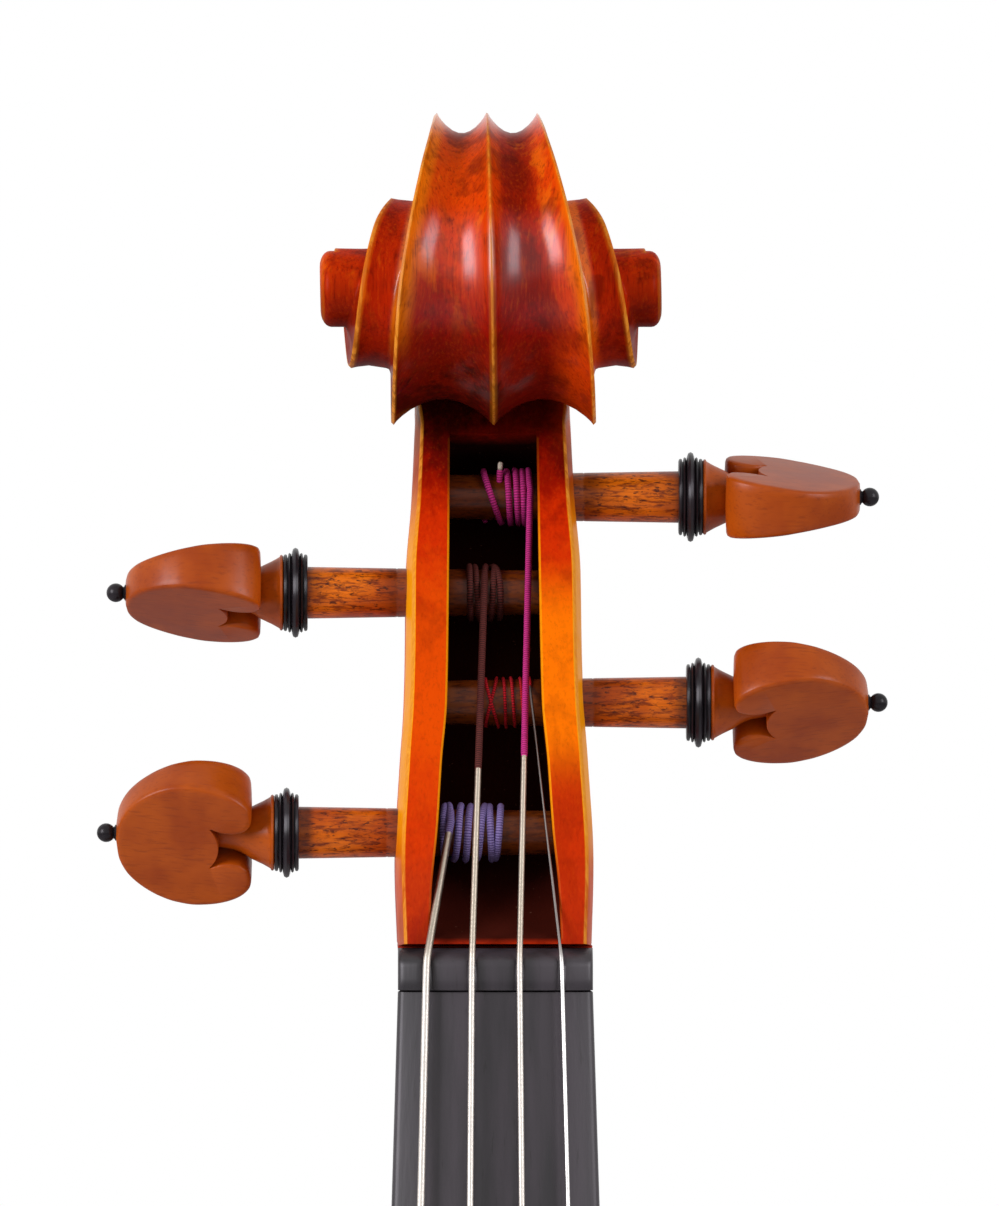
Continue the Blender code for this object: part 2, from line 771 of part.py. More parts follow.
def peg(name, side, drop, collar, turn):
    """A peg with its origin on its axis, and its collar and pip, which turn with it."""
    centre = peg_centre(drop)
    axis = Vector((side, 0, 0))
    angle = math.radians(abs(turn))
    face = Vector((0, -math.cos(angle), -math.copysign(math.sin(angle), turn)))
    up = face.cross(axis)
    matrix = Matrix((up, face, axis)).transposed().to_4x4()
    matrix.translation = centre
    far = -along(PEGBOX_HALF_WIDTHS, drop) + GAP
    neck = collar + COLLAR_WIDTH + 2 * GAP
    start = neck + PEG_NECK
    profile = [
        (0.0, start + 6.4 * MM),
        (1.8 * MM, start + 6.4 * MM),
        (1.9 * MM, start + 3.0 * MM),
        (2.5 * MM, start),
        (3.3 * MM, neck + 1.6 * MM),
        (4.6 * MM, neck),
        (peg_radius(collar, collar), neck),
        (peg_radius(far, collar), far),
        (0.0, far),
    ]
    made = turned(f"peg_{name}", profile, BOXWOOD, steps=14)
    made.matrix_world = matrix
    bpy.context.view_layer.update()
    head = peg_head(f"peg_heart_{name}", start, matrix)
    boolean(made, head, "UNION")
    bore = peg_radius(collar, collar) + GAP
    width = COLLAR_WIDTH
    wide = COLLAR_DIAMETER / 2
    lip = wide - 0.7 * MM
    rim = 0.9 * MM
    ring = [
        (bore, width), (lip, width), (lip, width - rim), (wide, width - 1.2 * rim),
        (wide, 1.2 * rim), (lip, rim), (lip, 0.0), (bore, 0.0),
    ]
    lifted = [(radius, height + collar + GAP) for radius, height in ring]
    collar_ring = turned(f"peg_collar_{name}", lifted, EBONY, steps=14, closed=True)
    collar_ring.matrix_world = matrix
    shape = bmesh.new()
    bmesh.ops.create_uvsphere(shape, u_segments=8, v_segments=6, radius=PIP_DIAMETER / 2)
    tip = start + HEAD_LENGTH + GAP + PIP_DIAMETER / 2
    pip = from_bmesh(f"peg_pip_{name}", shape, EBONY)
    pip.matrix_world = matrix @ Matrix.Translation((0, 0, tip))
    return made


# Strings


def nut_top(x):
    """Where a string lies on the nut, as (x, y, z) of the nut's top."""
    z = NUT_Z - NUT_BREAK
    return Vector((x, crown_y(z) - NUT_HEIGHT + crown_drop(x), z))


STOP_Z = BODY_TOP - STOP_LENGTH
BRIDGE_TOP_Y = crown_y(STOP_Z) - STRING_RISE


def bridge_top(x):
    return Vector((x, BRIDGE_TOP_Y + crown_drop(x, BRIDGE_CROWN) + 0.02 * x, STOP_Z))


def string_start(name):
    """Where a string leaves its peg: the point, the angle on the peg, and the radius of its turns."""
    wide, at_nut, at_bridge, at_peg = STRINGS[name]
    side, drop, collar = next(row[1:4] for row in PEG_HEADS if row[0] == name)
    centre = peg_centre(drop)
    radius = peg_radius(abs(at_peg), collar) + wide / 2 + GAP
    target = nut_top(at_nut) - Vector((0, GAP + wide / 2, 0))
    run = target - centre
    reach = math.hypot(run.y, run.z)
    angle = math.atan2(-run.y, -run.z) - math.asin(radius / reach)
    return centre, angle, radius, target


def on_peg(centre, angle, radius, x):
    return Vector((x, centre.y - radius * math.cos(angle), centre.z + radius * math.sin(angle)))


def winding_path(name):
    """The turns from the hole in the peg to where the string leaves."""
    wide, at_nut, at_bridge, at_peg = STRINGS[name]
    turns, way = WINDINGS[name]
    centre, angle, radius, target = string_start(name)
    pitch = (wide + TURN_SPACE) * way
    steps = turns * TURN_POINTS
    path = [
        on_peg(centre, angle + 2 * math.pi * k / TURN_POINTS, radius, at_peg + pitch * k / TURN_POINTS)
        for k in range(steps + 1)
    ]
    leaving = (target - path[0]).normalized()
    path.insert(0, path[0] + leaving * wide)
    last = path[-1]
    ending = (last - path[-2]).normalized()
    path.append(last + ending * wide)
    return path


def least_gap(path, diameter):
    """The least space between turns that are not next to each other on the path."""
    points = np.array([tuple(point) for point in path])
    away = np.linalg.norm(points[:, None] - points[None, :], axis=2)
    index = np.arange(len(points))
    near = np.abs(index[:, None] - index[None, :]) < TURN_POINTS // 2
    away[near] = 1.0
    return away.min() - diameter


def string(name):
    """A string from its peg over the nut and the bridge to the tailpiece, and its turns on the peg."""
    wide, at_nut, at_bridge, at_peg = STRINGS[name]
    turns = winding_path(name)
    tube(f"winding_{name}", turns, wide, SILK[name], resolution=1)
    print("least gap of winding", name, round(least_gap(turns, wide) / MM, 3), "mm")
    lift = Vector((0, -(GAP + wide / 2), 0))
    nut = nut_top(at_nut) + lift
    top = bridge_top(at_bridge) + lift
    leaving = (nut - turns[1]).normalized()
    start = turns[0] + leaving * GAP
    down = (top - nut).normalized()
    end = tail_slot(name)
    over = (end[0] - top).normalized()
    path = [start, nut - leaving * MM, nut, nut + down * MM]
    path += [top - down * 3 * MM, top, top + over * 3 * MM, *end]
    tube(f"string_{name}", path, wide, SILVER, resolution=1)


# Body outline, as (x, height above the body's lowest point)


def outline_segments():
    """The right side of the outline from the bottom to the top, as Bezier arcs."""
    lc, la = LOWER_CORNER_HALF, LOWER_CORNER_AT
    uc, ua = UPPER_CORNER_HALF, UPPER_CORNER_AT
    blunt = CORNER_BLUNT
    low, high = LOWER_HALF, UPPER_HALF
    lower = (low, LOWER_AT)
    waist = (WAIST_HALF, WAIST_AT)
    upper = (high, UPPER_AT)
    lower_neck = (lc - 5 * MM, la - 18 * MM)
    upper_neck = (uc - 4.5 * MM, ua + 19 * MM)
    shoulder = 0.35 * UPPER_AT + 0.65 * BODY_LENGTH
    return [
        ((0, 0), (0.55 * low, 0), (low, 0.41 * LOWER_AT), lower),
        (lower, (low, LOWER_AT + 28 * MM), (lc - MM, la - 35 * MM), lower_neck),
        (lower_neck, (lc - 6.5 * MM, la - 11 * MM), (lc - 4.5 * MM, la - 5 * MM), (lc, la)),
        ((lc - 3 * MM, la + blunt), (lc - 18 * MM, la + 9 * MM), (waist[0], WAIST_AT - 28 * MM), waist),
        (waist, (waist[0], WAIST_AT + 24 * MM), (uc - 13.5 * MM, ua - 10 * MM), (uc - 3.5 * MM, ua - blunt)),
        ((uc, ua), (uc - 3.5 * MM, ua + 4 * MM), (uc - 5 * MM, ua + 10 * MM), upper_neck),
        (upper_neck, (uc - 3.5 * MM, ua + 36 * MM), (high, UPPER_AT - 25 * MM), upper),
        (upper, (high, shoulder), (0.54 * high, BODY_LENGTH), (0, BODY_LENGTH)),
    ]


SEGMENTS = outline_segments()
TENTHS = tuple(k / 10 for k in range(11))
# Places along each arc where points are set, the same for every piece so that they stay parallel
PLACES = (
    TENTHS,
    (0.25, 0.5, 0.75, 1.0),
    (0.5, 0.98),
    (0.05, 0.16, 0.3, 0.5, 0.75, 1.0),
    (0.25, 0.5, 0.7, 0.84, 0.95),
    (0.02, 0.5, 1.0),
    (0.25, 0.5, 0.75, 1.0),
    TENTHS[1:],
)


def edge_point(part, t, inset=0.0):
    """A point of the outline, moved in from the edge."""
    here = Vector(bezier(*SEGMENTS[part], t))
    ahead = Vector(bezier(*SEGMENTS[part], min(t + 0.002, 1.0)))
    behind = Vector(bezier(*SEGMENTS[part], max(t - 0.002, 0.0)))
    way = (ahead - behind).normalized()
    return here - inset * Vector((way.y, -way.x))


def side_line(inset, first, last):
    """Points moved in from the edge, from one (arc, place) to another."""
    line = []
    for part, places in enumerate(PLACES):
        for t in places:
            if first <= (part, t) <= last:
                line.append(edge_point(part, t, inset))
    return line


def plate_rows():
    """(half width, height) of the rows that a plate is drawn on, without its two ends."""
    rows = [edge_point(0, 0.09 + 0.13 * k) for k in range(8)]
    rows += [edge_point(part, t) for part, t in ((1, 0.35), (1, 0.7), (1, 1.0), (2, 0.5), (2, 1.0))]
    rows += [edge_point(3, t) for t in (0.0, 0.25, 0.5, 0.75, 1.0)]
    rows += [edge_point(4, t) for t in (0.25, 0.5, 0.75, 1.0)]
    rows += [edge_point(part, t) for part, t in ((5, 0.0), (5, 0.5), (5, 1.0), (6, 0.35), (6, 0.7))]
    rows += [edge_point(7, 0.13 * k) for k in range(8)]
    return rows


ACROSS = (0.0, 0.3, 0.58, 0.8, 0.93, 1.0)


def arch_width(up):
    """Half width over which a plate is arched, which passes the corners by."""
    if up < LOWER_AT or up > UPPER_AT:
        part = 0 if up < LOWER_AT else 7
        line = sorted([edge_point(part, t) for t in TENTHS], key=lambda point: point.y)
        half = float(np.interp(up, [point.y for point in line], [point.x for point in line]))
    elif up < WAIST_AT:
        share = (up - LOWER_AT) / (WAIST_AT - LOWER_AT)
        half = LOWER_HALF + (WAIST_HALF - LOWER_HALF) * (1 - math.cos(math.pi * share)) / 2
    else:
        share = (up - WAIST_AT) / (UPPER_AT - WAIST_AT)
        half = WAIST_HALF + (UPPER_HALF - WAIST_HALF) * (1 - math.cos(math.pi * share)) / 2
    return 0.96 * half


def arch(x, up, height):
    """Height of an arched plate over its edge at a point."""
    share = min(abs(x) / max(arch_width(up), MM), 1.0)
    length = 1 - abs(2 * up / BODY_LENGTH - 1) ** 2.8
    return height * max(length, 0.0) * 0.5 * (1 + math.cos(math.pi * share))


def facet_arch(x, up, height):
    """The same height as the plate's flat facets have it."""
    rows = plate_rows()
    half = float(np.interp(up, [row[1] for row in rows], [row[0] for row in rows]))
    places = [share * half for share in ACROSS]
    return float(np.interp(abs(x), places, [arch(place, up, height) for place in places]))


def plate(name, edge_y, height, way, material):
    """An arched plate: way is -1 for the top, whose outside faces the front, and 1 for the back."""
    rows = plate_rows()
    shares = [-share for share in reversed(ACROSS[1:])] + list(ACROSS)
    grid = [end_row(shares, rows[0][0], edge_y, 0)]
    for half, up in rows:
        grid.append(
            [
                Vector((share * half, edge_y + way * arch(share * half, up, height), BODY_BOTTOM + up))
                for share in shares
            ]
        )
    grid.append(end_row(shares, rows[-1][0], edge_y, 7))
    shape = bmesh.new()
    made = [[shape.verts.new(point) for point in row] for row in grid]
    for low, high in zip(made, made[1:]):
        for i in range(len(low) - 1):
            face = (low[i], low[i + 1], high[i + 1], high[i])
            shape.faces.new(face if way < 0 else reversed(face))
    mesh = bpy.data.meshes.new(name)
    shape.to_mesh(mesh)
    shape.free()
    mesh.shade_smooth()
    made = bpy.data.objects.new(name, mesh)
    place(made, material)
    wall = made.modifiers.new("wall", "SOLIDIFY")
    wall.thickness = PLATE_THICKNESS
    wall.offset = -1.0
    return made


def end_row(shares, half, edge_y, part):
    """The round end of a plate, which follows the outline itself."""
    reach = 0.9 * half
    row = []
    for share in shares:
        low, high = 0.0, 1.0
        for _ in range(30):
            t = (low + high) / 2
            inside = bezier(*SEGMENTS[part], t)[0] < abs(share) * reach
            if inside == (part == 0):
                low = t
            else:
                high = t
        up = bezier(*SEGMENTS[part], (low + high) / 2)[1]
        row.append(Vector((share * reach, edge_y, BODY_BOTTOM + up)))
    return row


def f_hole_cutter(side):
    """An f-shaped hole beside the bridge: a slot along a curve that ends in two round eyes."""
    eye = F_HOLE_EYE_GAP / 2
    centre = [
        (0.0, 31.0), (0.8, 37.0), (6.0, 39.8), (10.5, 35.0), (12.5, 24.0), (15.0, 2.0),
        (17.5, -20.0), (19.5, -32.0), (24.0, -37.8), (29.5, -36.0), (31.0, -29.0),
    ]
    widths = [3.0, 1.7, 1.4, 1.8, 2.6, 3.1, 2.6, 1.8, 1.5, 2.2, 4.0]
    path = smooth_path([(side * (eye + x * MM), up * MM, 0) for x, up in centre], 2)
    spread = np.interp(np.arange(len(path)) / 2, np.arange(len(widths)), widths)
    left, right = [], []
    for i, point in enumerate(path):
        ahead = path[min(i + 1, len(path) - 1)]
        behind = path[max(i - 1, 0)]
        way = (ahead - behind).normalized()
        off = Vector((-way.y, way.x, 0)) * float(spread[i]) * MM
        left.append(point + off)
        right.append(point - off)
    outline = [(point.x, STOP_Z + point.y) for point in left + right[::-1]]
    return flat(f"f_hole_{side}", [outline], TOP_EDGE_Y - 3 * TOP_ARCH, TOP_INNER_Y + MM, None, cutter=True)


def top_plate():
    made = plate("top_plate", TOP_EDGE_Y, TOP_ARCH, -1, SPRUCE)
    for side in (-1, 1):
        boolean(made, f_hole_cutter(side))
    notch = box(
        "saddle_notch",
        (-SADDLE_WIDTH / 2 - GAP, TOP_EDGE_Y - TOP_ARCH, BODY_BOTTOM - MM),
        (SADDLE_WIDTH / 2 + GAP, TOP_INNER_Y + MM, BODY_BOTTOM + SADDLE_LENGTH + GAP),
        None,
        cutter=True,
    )
    return boolean(made, notch)


def back_plate():
    made = plate("back_plate", BACK_INNER_Y + PLATE_THICKNESS, BACK_ARCH, 1, MAPLE)
    round_end = [
        (HEEL_CAP_WIDTH / 2 * math.cos(math.pi * k / 12), BODY_TOP + HEEL_RISE * math.sin(math.pi * k / 12))
        for k in range(13)
    ]
    low = [(-HEEL_CAP_WIDTH / 2, BODY_TOP - 6 * MM), (HEEL_CAP_WIDTH / 2, BODY_TOP - 6 * MM)]
    inset = 0.05 * MM
    button = flat(
        "back_button",
        [round_end + low],
        BACK_INNER_Y + inset,
        BACK_INNER_Y + PLATE_THICKNESS - inset,
        None,
        cutter=True,
    )
    return boolean(made, button, "UNION")


# Ribs, linings and blocks


def mirrored(line, side):
    return [(side * x, BODY_BOTTOM + up) for x, up in line]


def wall_piece(name, line, inset_line, low, high, material):
    """A strip between two lines, from one depth to another."""
    return flat(name, [list(line) + list(inset_line)[::-1]], low, high, material)


def button_centre():
    return Vector((0, (TOP_INNER_Y + BACK_INNER_Y) / 2, BODY_BOTTOM))


def ribs():
    low, high = TOP_INNER_Y + GAP, BACK_INNER_Y - GAP
    bouts = (
        ("lower", (0, 0.0), (2, 0.98)),
        ("waist", (3, 0.05), (4, 0.95)),
        ("upper", (5, 0.02), (7, 1.0)),
    )
    for side, word in ((-1, "bass"), (1, "treble")):
        for bout, first, last in bouts:
            lines = []
            for inset in (OVERHANG, OVERHANG + RIB_THICKNESS):
                line = side_line(inset, first, last)
                if bout == "lower":
                    line[0].x = GAP / 2
                if bout == "upper":
                    line = cut_line(line, HEEL_TONGUE / 2 + GAP)
                lines.append(mirrored(line, side))
            made = wall_piece(f"{bout}_rib_{word}", lines[0], lines[1], low, high, MAPLE)
            if bout == "lower":
                boolean(made, button_cutter())


def cut_line(line, least):
    """A line towards the centre, ended on the place where it comes as near as given."""
    kept = [point for point in line if point.x > least]
    after = next(point for point in line[len(kept) :])
    last = kept[-1]
    share = (last.x - least) / (last.x - after.x)
    return kept + [last + share * (after - last)]


def button_cutter():
    """The round hole for the end button's pin, made once."""
    found = bpy.data.objects.get("button_hole")
    if found:
        return found
    reach = Vector((0, 0, BUTTON_PIN_LENGTH + 4 * MM))
    radius = BUTTON_PIN / 2 + GAP
    start, end = button_centre() - reach / 2, button_centre() + reach
    return pin("button_hole", start, end, radius, radius, None, cutter=True)


def ring_line(inset):
    """A closed line inside the ribs that cuts across behind the corners."""
    right = side_line(inset, (0, 0.0), (1, 0.5))
    right += side_line(inset, (3, 0.5), (4, 0.5))
    right += side_line(inset, (6, 0.25), (7, 1.0))
    left = [Vector((-point.x, point.y)) for point in reversed(right[1:-1])]
    return right + left


def linings():
    inset = OVERHANG + RIB_THICKNESS + GAP
    outer, inner = ring_line(inset), ring_line(inset + LINING_THICKNESS)
    lines = [mirrored(outer, 1), mirrored(inner, 1)]
    low, high = TOP_INNER_Y + GAP, BACK_INNER_Y - GAP
    flat("top_linings", lines, low, low + LINING_HEIGHT, PLAIN_SPRUCE)
    flat("back_linings", lines, high - LINING_HEIGHT, high, PLAIN_SPRUCE)


def corner_block(name, side, lower):
    """A block that fills a corner between its two ribs and the linings."""
    inset = OVERHANG + RIB_THICKNESS + GAP
    if lower:
        line = side_line(inset, (1, 1.0), (2, 0.5)) + side_line(inset, (3, 0.16), (3, 0.3))
    else:
        line = side_line(inset, (4, 0.7), (4, 0.84)) + side_line(inset, (5, 0.5), (5, 1.0))
    return flat(name, [mirrored(line, side)], TOP_INNER_Y + GAP, BACK_INNER_Y - GAP, PLAIN_SPRUCE)


def end_block(name, part, depth, half):
    """The upper or lower block, its outer side shaped to the linings."""
    inset = OVERHANG + RIB_THICKNESS + LINING_THICKNESS + 2 * GAP
    line = side_line(inset, (part, 0.0), (part, 1.0))
    if part == 0:
        line = line[::-1]
    near = [point for point in line if point.x <= half]
    outside = line[len(line) - len(near) - 1]
    share = (half - near[0].x) / (outside.x - near[0].x)
    near = ([near[0] + share * (outside - near[0])] + near)[::-1]
    base = near[0].y + (depth if part == 0 else -depth)
    right = [(point.x, point.y) for point in near] + [(half, base)]
    left = [(-x, up) for x, up in reversed(right[1:])]
    return flat(name, [mirrored(right + left, 1)], TOP_INNER_Y + GAP, BACK_INNER_Y - GAP, PLAIN_SPRUCE)


def inner_body():
    ribs()
    linings()
    for side, word in ((-1, "bass"), (1, "treble")):
        corner_block(f"lower_corner_block_{word}", side, True)
        corner_block(f"upper_corner_block_{word}", side, False)
    lower = end_block("lower_block", 0, 18 * MM, 28 * MM)
    boolean(lower, button_cutter())
    upper = end_block("upper_block", 7, 18 * MM, 30 * MM)
    mortise = box(
        "mortise",
        (-HEEL_TONGUE / 2 - GAP, TOP_INNER_Y, BODY_TOP - OVERHANG - HEEL_MORTISE - GAP),
        (HEEL_TONGUE / 2 + GAP, BACK_INNER_Y, BODY_TOP + 4 * MM),
        None,
        cutter=True,
    )
    boolean(upper, mortise)
    for lining in ("top_linings", "back_linings"):
        boolean(bpy.data.objects[lining], mortise)
        boolean(bpy.data.objects[lining], button_cutter())


def under_top(x, up):
    """Inside face of the top plate at a point."""
    rise = facet_arch(x, up, TOP_ARCH)
    tilt = (facet_arch(x + MM, up, TOP_ARCH) - facet_arch(x - MM, up, TOP_ARCH)) / (2 * MM)
    return TOP_EDGE_Y - rise + PLATE_THICKNESS * math.hypot(1, tilt)


def inside_back(x, up):
    rise = facet_arch(x, up, BACK_ARCH)
    tilt = (facet_arch(x + MM, up, BACK_ARCH) - facet_arch(x - MM, up, BACK_ARCH)) / (2 * MM)
    return BACK_INNER_Y + PLATE_THICKNESS + rise - PLATE_THICKNESS * math.hypot(1, tilt)


def bass_bar():
    """A bar under the bass side of the top that follows its arch and thins to its ends."""
    middle = STOP_Z - BODY_BOTTOM + 6 * MM
    rings = []
    stations = 12
    for k in range(stations + 1):
        share = 2 * k / stations - 1
        up = middle + share * BASS_BAR_LENGTH / 2
        height = 3 * MM + (BASS_BAR_HEIGHT - 3 * MM) * (1 - share * share)
        sides = [-BASS_BAR_OFFSET - BASS_BAR_WIDTH / 2, -BASS_BAR_OFFSET + BASS_BAR_WIDTH / 2]
        tops = [under_top(x, up) + 2.5 * GAP for x in sides]
        base = max(tops) + height
        z = BODY_BOTTOM + up
        rings.append(
            [(sides[0], tops[0], z), (sides[1], tops[1], z), (sides[1], base, z), (sides[0], base, z)]
        )
    return loft("bass_bar", rings, PLAIN_SPRUCE)


def sound_post():
    radius = SOUND_POST_DIAMETER / 2
    x = BASS_BAR_OFFSET
    up = STOP_Z - BODY_BOTTOM - BRIDGE_FOOT / 2 - radius - 2 * MM
    around = [
        (x + radius * math.cos(math.pi * k / 4), up + radius * math.sin(math.pi * k / 4))
        for k in range(8)
    ]
    front = max(under_top(*point) for point in around) + GAP
    back = min(inside_back(*point) for point in around) - GAP
    z = BODY_BOTTOM + up
    return pin("sound_post", (x, front, z), (x, back, z), radius, radius, PLAIN_SPRUCE, sides=12)


# Nut, fingerboard, saddle and end button


def crowned_ring(z, half, front, back, count=7):
    """A section with a crowned front and a flat back, at one height."""
    ring = []
    for k in range(count):
        x = half * (2 * k / (count - 1) - 1)
        ring.append((x, front + crown_drop(x), z))
    return ring + [(half, back, z), (-half, back, z)]


def nut():
    """The nut, rounded back from where the strings lie towards the pegbox."""
    top = NUT_Z - NUT_BREAK
    stations = ((NUT_Z - 2 * GAP, -2.2), (top + 0.6 * MM, -0.1), (top, 1.0), (NECK_JOINT_Z, 0.75))
    rings = []
    for z, rise in stations:
        rings.append(crowned_ring(z, NUT_WIDTH / 2, crown_y(z) - rise * NUT_HEIGHT, glue_y(z)))
    return loft("nut", rings, EBONY)


def fingerboard():
    top = NECK_JOINT_Z - GAP
    end = NECK_JOINT_Z - FINGERBOARD_LENGTH * math.cos(NECK_SLOPE)
    rings = []
    for k in range(4):
        z = top + (end - top) * k / 3
        rings.append(crowned_ring(z, fingerboard_width(z) / 2, crown_y(z), glue_y(z)))
    return loft("fingerboard", rings, EBONY)


def saddle():
    low, high = BODY_BOTTOM, BODY_BOTTOM + SADDLE_LENGTH
    half = SADDLE_WIDTH / 2
    front = TOP_EDGE_Y - SADDLE_HEIGHT
    rings = []
    for share in (-1.0, -0.8, 0.8, 1.0):
        x = share * half
        rise = SADDLE_HEIGHT * (0.0 if abs(share) == 1.0 else 1.0)
        top = TOP_EDGE_Y - rise
        base = TOP_INNER_Y
        round_edge = min(1.5 * MM, rise)
        rings.append(
            [(x, base, low + 2 * MM), (x, top + round_edge, low + MM), (x, top, low + 2.5 * MM),
             (x, top, high - 2 * MM), (x, top + round_edge + MM, high), (x, base, high)]
        )
    return loft("saddle", rings, EBONY)


def end_button():
    """A turned ebony button: head, waist for the tail gut, and tapered pin in the lower block."""
    wide = BUTTON_DIAMETER / 2
    slim = BUTTON_PIN / 2
    seat = OVERHANG - GAP
    profile = [
        (0.0, seat + BUTTON_PIN_LENGTH),
        (slim - 0.4 * MM, seat + BUTTON_PIN_LENGTH),
        (slim, seat),
        (wide - MM, seat),
        (wide - MM, seat - 1.6 * MM),
        (slim + 0.6 * MM, seat - 3 * MM),
        (slim + 0.6 * MM, seat - 7 * MM),
        (wide - 0.6 * MM, seat - 9 * MM),
        (wide, seat - BUTTON_LENGTH + 3 * MM),
        (0.6 * wide, seat - BUTTON_LENGTH),
        (0.0, seat - BUTTON_LENGTH),
    ]
    made = turned("end_button", profile, EBONY, steps=16)
    made.location = button_centre()
    return made


# Bridge


def flat_plan(name, outlines, low, high, material, cutter=False):
    """A flat piece in the X-Y plane from outlines of (x, y), between two heights."""
    curve = bpy.data.curves.new(name, "CURVE")
    curve.dimensions = "2D"
    curve.fill_mode = "BOTH"
    curve.extrude = (high - low) / 2
    for outline in outlines:
        line = curve.splines.new("POLY")
        line.points.add(len(outline) - 1)
        line.use_cyclic_u = True
        for i, (x, y) in enumerate(outline):
            line.points[i].co = (x, y, 0.0, 1.0)
    made = bpy.data.objects.new(name, curve)
    made.location = (0.0, 0.0, (high + low) / 2)
    place(made, material, cutter)
    bpy.context.view_layer.update()
    return place(as_mesh(made), material, cutter)


def top_surface(x):
    """Outside of the top plate across the bridge's line, with room for the foot on it."""
    return TOP_EDGE_Y - facet_arch(x, STOP_Z - BODY_BOTTOM, TOP_ARCH) - GAP


def bridge():
    """A two-footed bridge with a heart and two waists, thick at its feet and thin on top."""
    half = BRIDGE_WIDTH / 2
    floor = top_surface(0)
    tall = floor - BRIDGE_TOP_Y
    right = [
        (0.0, floor - 0.24 * tall), (0.14, floor - 0.22 * tall), (0.3, floor - 0.13 * tall),
        (0.44, floor - 0.05 * tall), (0.44, top_surface(0.44 * half)), (1.0, top_surface(half)),
        (0.98, floor - 0.02 * tall), (0.8, floor - 0.14 * tall), (0.66, floor - 0.3 * tall),
        (0.7, floor - 0.4 * tall), (0.82, floor - 0.45 * tall), (0.95, floor - 0.5 * tall),
        (0.97, floor - 0.6 * tall),
    ]
    outline = [(share * half, y) for share, y in right]
    crown = [(share * 0.88 * half, 0) for share in (1.0, 0.75, 0.5, 0.25)]
    outline += [(x, bridge_top(x).y) for x, _ in crown]
    left = [(-x, y) for x, y in reversed(outline[1:])]
    left = [(x, bridge_top(x).y if y < floor - 0.7 * tall else y) for x, y in left]
    top = [(0.0, bridge_top(0).y)]
    heart = [
        (0.0, 0.52), (0.1, 0.56), (0.2, 0.53), (0.22, 0.46), (0.1, 0.4), (0.0, 0.36),
        (-0.1, 0.4), (-0.22, 0.46), (-0.2, 0.53), (-0.1, 0.56),
    ]
    hole = [(share * half, floor - rise * tall) for share, rise in heart]
    thick = BRIDGE_FOOT / 2
    made = flat_plan("bridge", [outline + top + left, hole], STOP_Z - thick, STOP_Z + thick, PALE_MAPLE)
    made.data.transform(made.matrix_world)
    made.matrix_world = Matrix()
    for point in made.data.vertices:
        share = min(max((floor - point.co.y) / tall, 0.0), 1.0)
        slim = 1 + (BRIDGE_TOP / BRIDGE_FOOT - 1) * share
        point.co.z = STOP_Z + (point.co.z - STOP_Z) * slim
    return made


# Tailpiece, its fret and the tail gut

TAIL_LOW = BODY_BOTTOM + TAIL_GAP
TAIL_HIGH = TAIL_LOW + TAILPIECE_LENGTH
FRET_Z = TAIL_HIGH - FRET_SETBACK
SLOT_TOP = FRET_Z - FRET_WIDTH / 2 - 2 * GAP


def tail_back(x, z):
    """Underside of the tailpiece, which is hollowed a little across."""
    low = TOP_EDGE_Y - SADDLE_HEIGHT - GUT_DIAMETER - 3 * GAP
    high = TOP_EDGE_Y - TOP_ARCH - TAILPIECE_LIFT
    return low + (high - low) * (z - TAIL_LOW) / TAILPIECE_LENGTH + 0.8 * crown_drop(x, TAIL_CROWN)


def tail_front(x, z):
    return tail_back(0, z) - TAILPIECE_THICKNESS + crown_drop(x, TAIL_CROWN)


def tail_half(z):
    share = min(max((z - TAIL_LOW) / TAILPIECE_LENGTH, 0.0), 1.0)
    return (TAILPIECE_END_WIDTH + (TAILPIECE_WIDTH - TAILPIECE_END_WIDTH) * share**1.4) / 2


def string_at_tail(name):
    return STRINGS[name][2] * 0.62


def gut_level():
    """Depth of the tail gut inside the tailpiece."""
    return tail_back(0, TAIL_LOW) - 0.5 * TAILPIECE_THICKNESS


def tailpiece():
    rings = []
    for share in (0.0, 0.04, 0.3, 0.6, 0.85, 1.0):
        z = TAIL_LOW + share * TAILPIECE_LENGTH
        half = tail_half(z) * (0.86 if share == 0.0 else 1.0)
        places = [half * (k / 3 - 1) for k in range(7)]
        ring = [(x, tail_front(x, z), z) for x in places]
        rings.append(ring + [(x, tail_back(x, z), z) for x in reversed(places)])
    made = loft("tailpiece", rings, EBONY)
    for name in ("c", "g", "d"):
        x = string_at_tail(name)
        wide = STRINGS[name][0] / 2 + GAP
        deep = tail_back(x, SLOT_TOP)
        low = (x - wide, deep - 2 * TAILPIECE_THICKNESS, SLOT_TOP - SLOT_LENGTH)
        high = (x + wide, deep + TAILPIECE_THICKNESS, SLOT_TOP)
        boolean(made, box(f"tail_slot_{name}", low, high, None, cutter=True))
    boolean(made, screw_hole("tuner_way", SCREW_RADIUS + 2 * GAP, 2 * TAILPIECE_THICKNESS))
    for side in (-1, 1):
        start = Vector((side * GUT_SPREAD, gut_level(), TAIL_LOW - 2 * MM))
        end = Vector((side * GUT_SPREAD, gut_level(), TAIL_LOW + GUT_REACH + GAP))
        radius = GUT_DIAMETER / 2 + 2 * GAP
        boolean(made, pin(f"gut_hole_{side}", start, end, radius, radius, None, cutter=True, sides=8))
    return made


def fret_top(x):
    return tail_front(x, FRET_Z) - GAP - FRET_HEIGHT


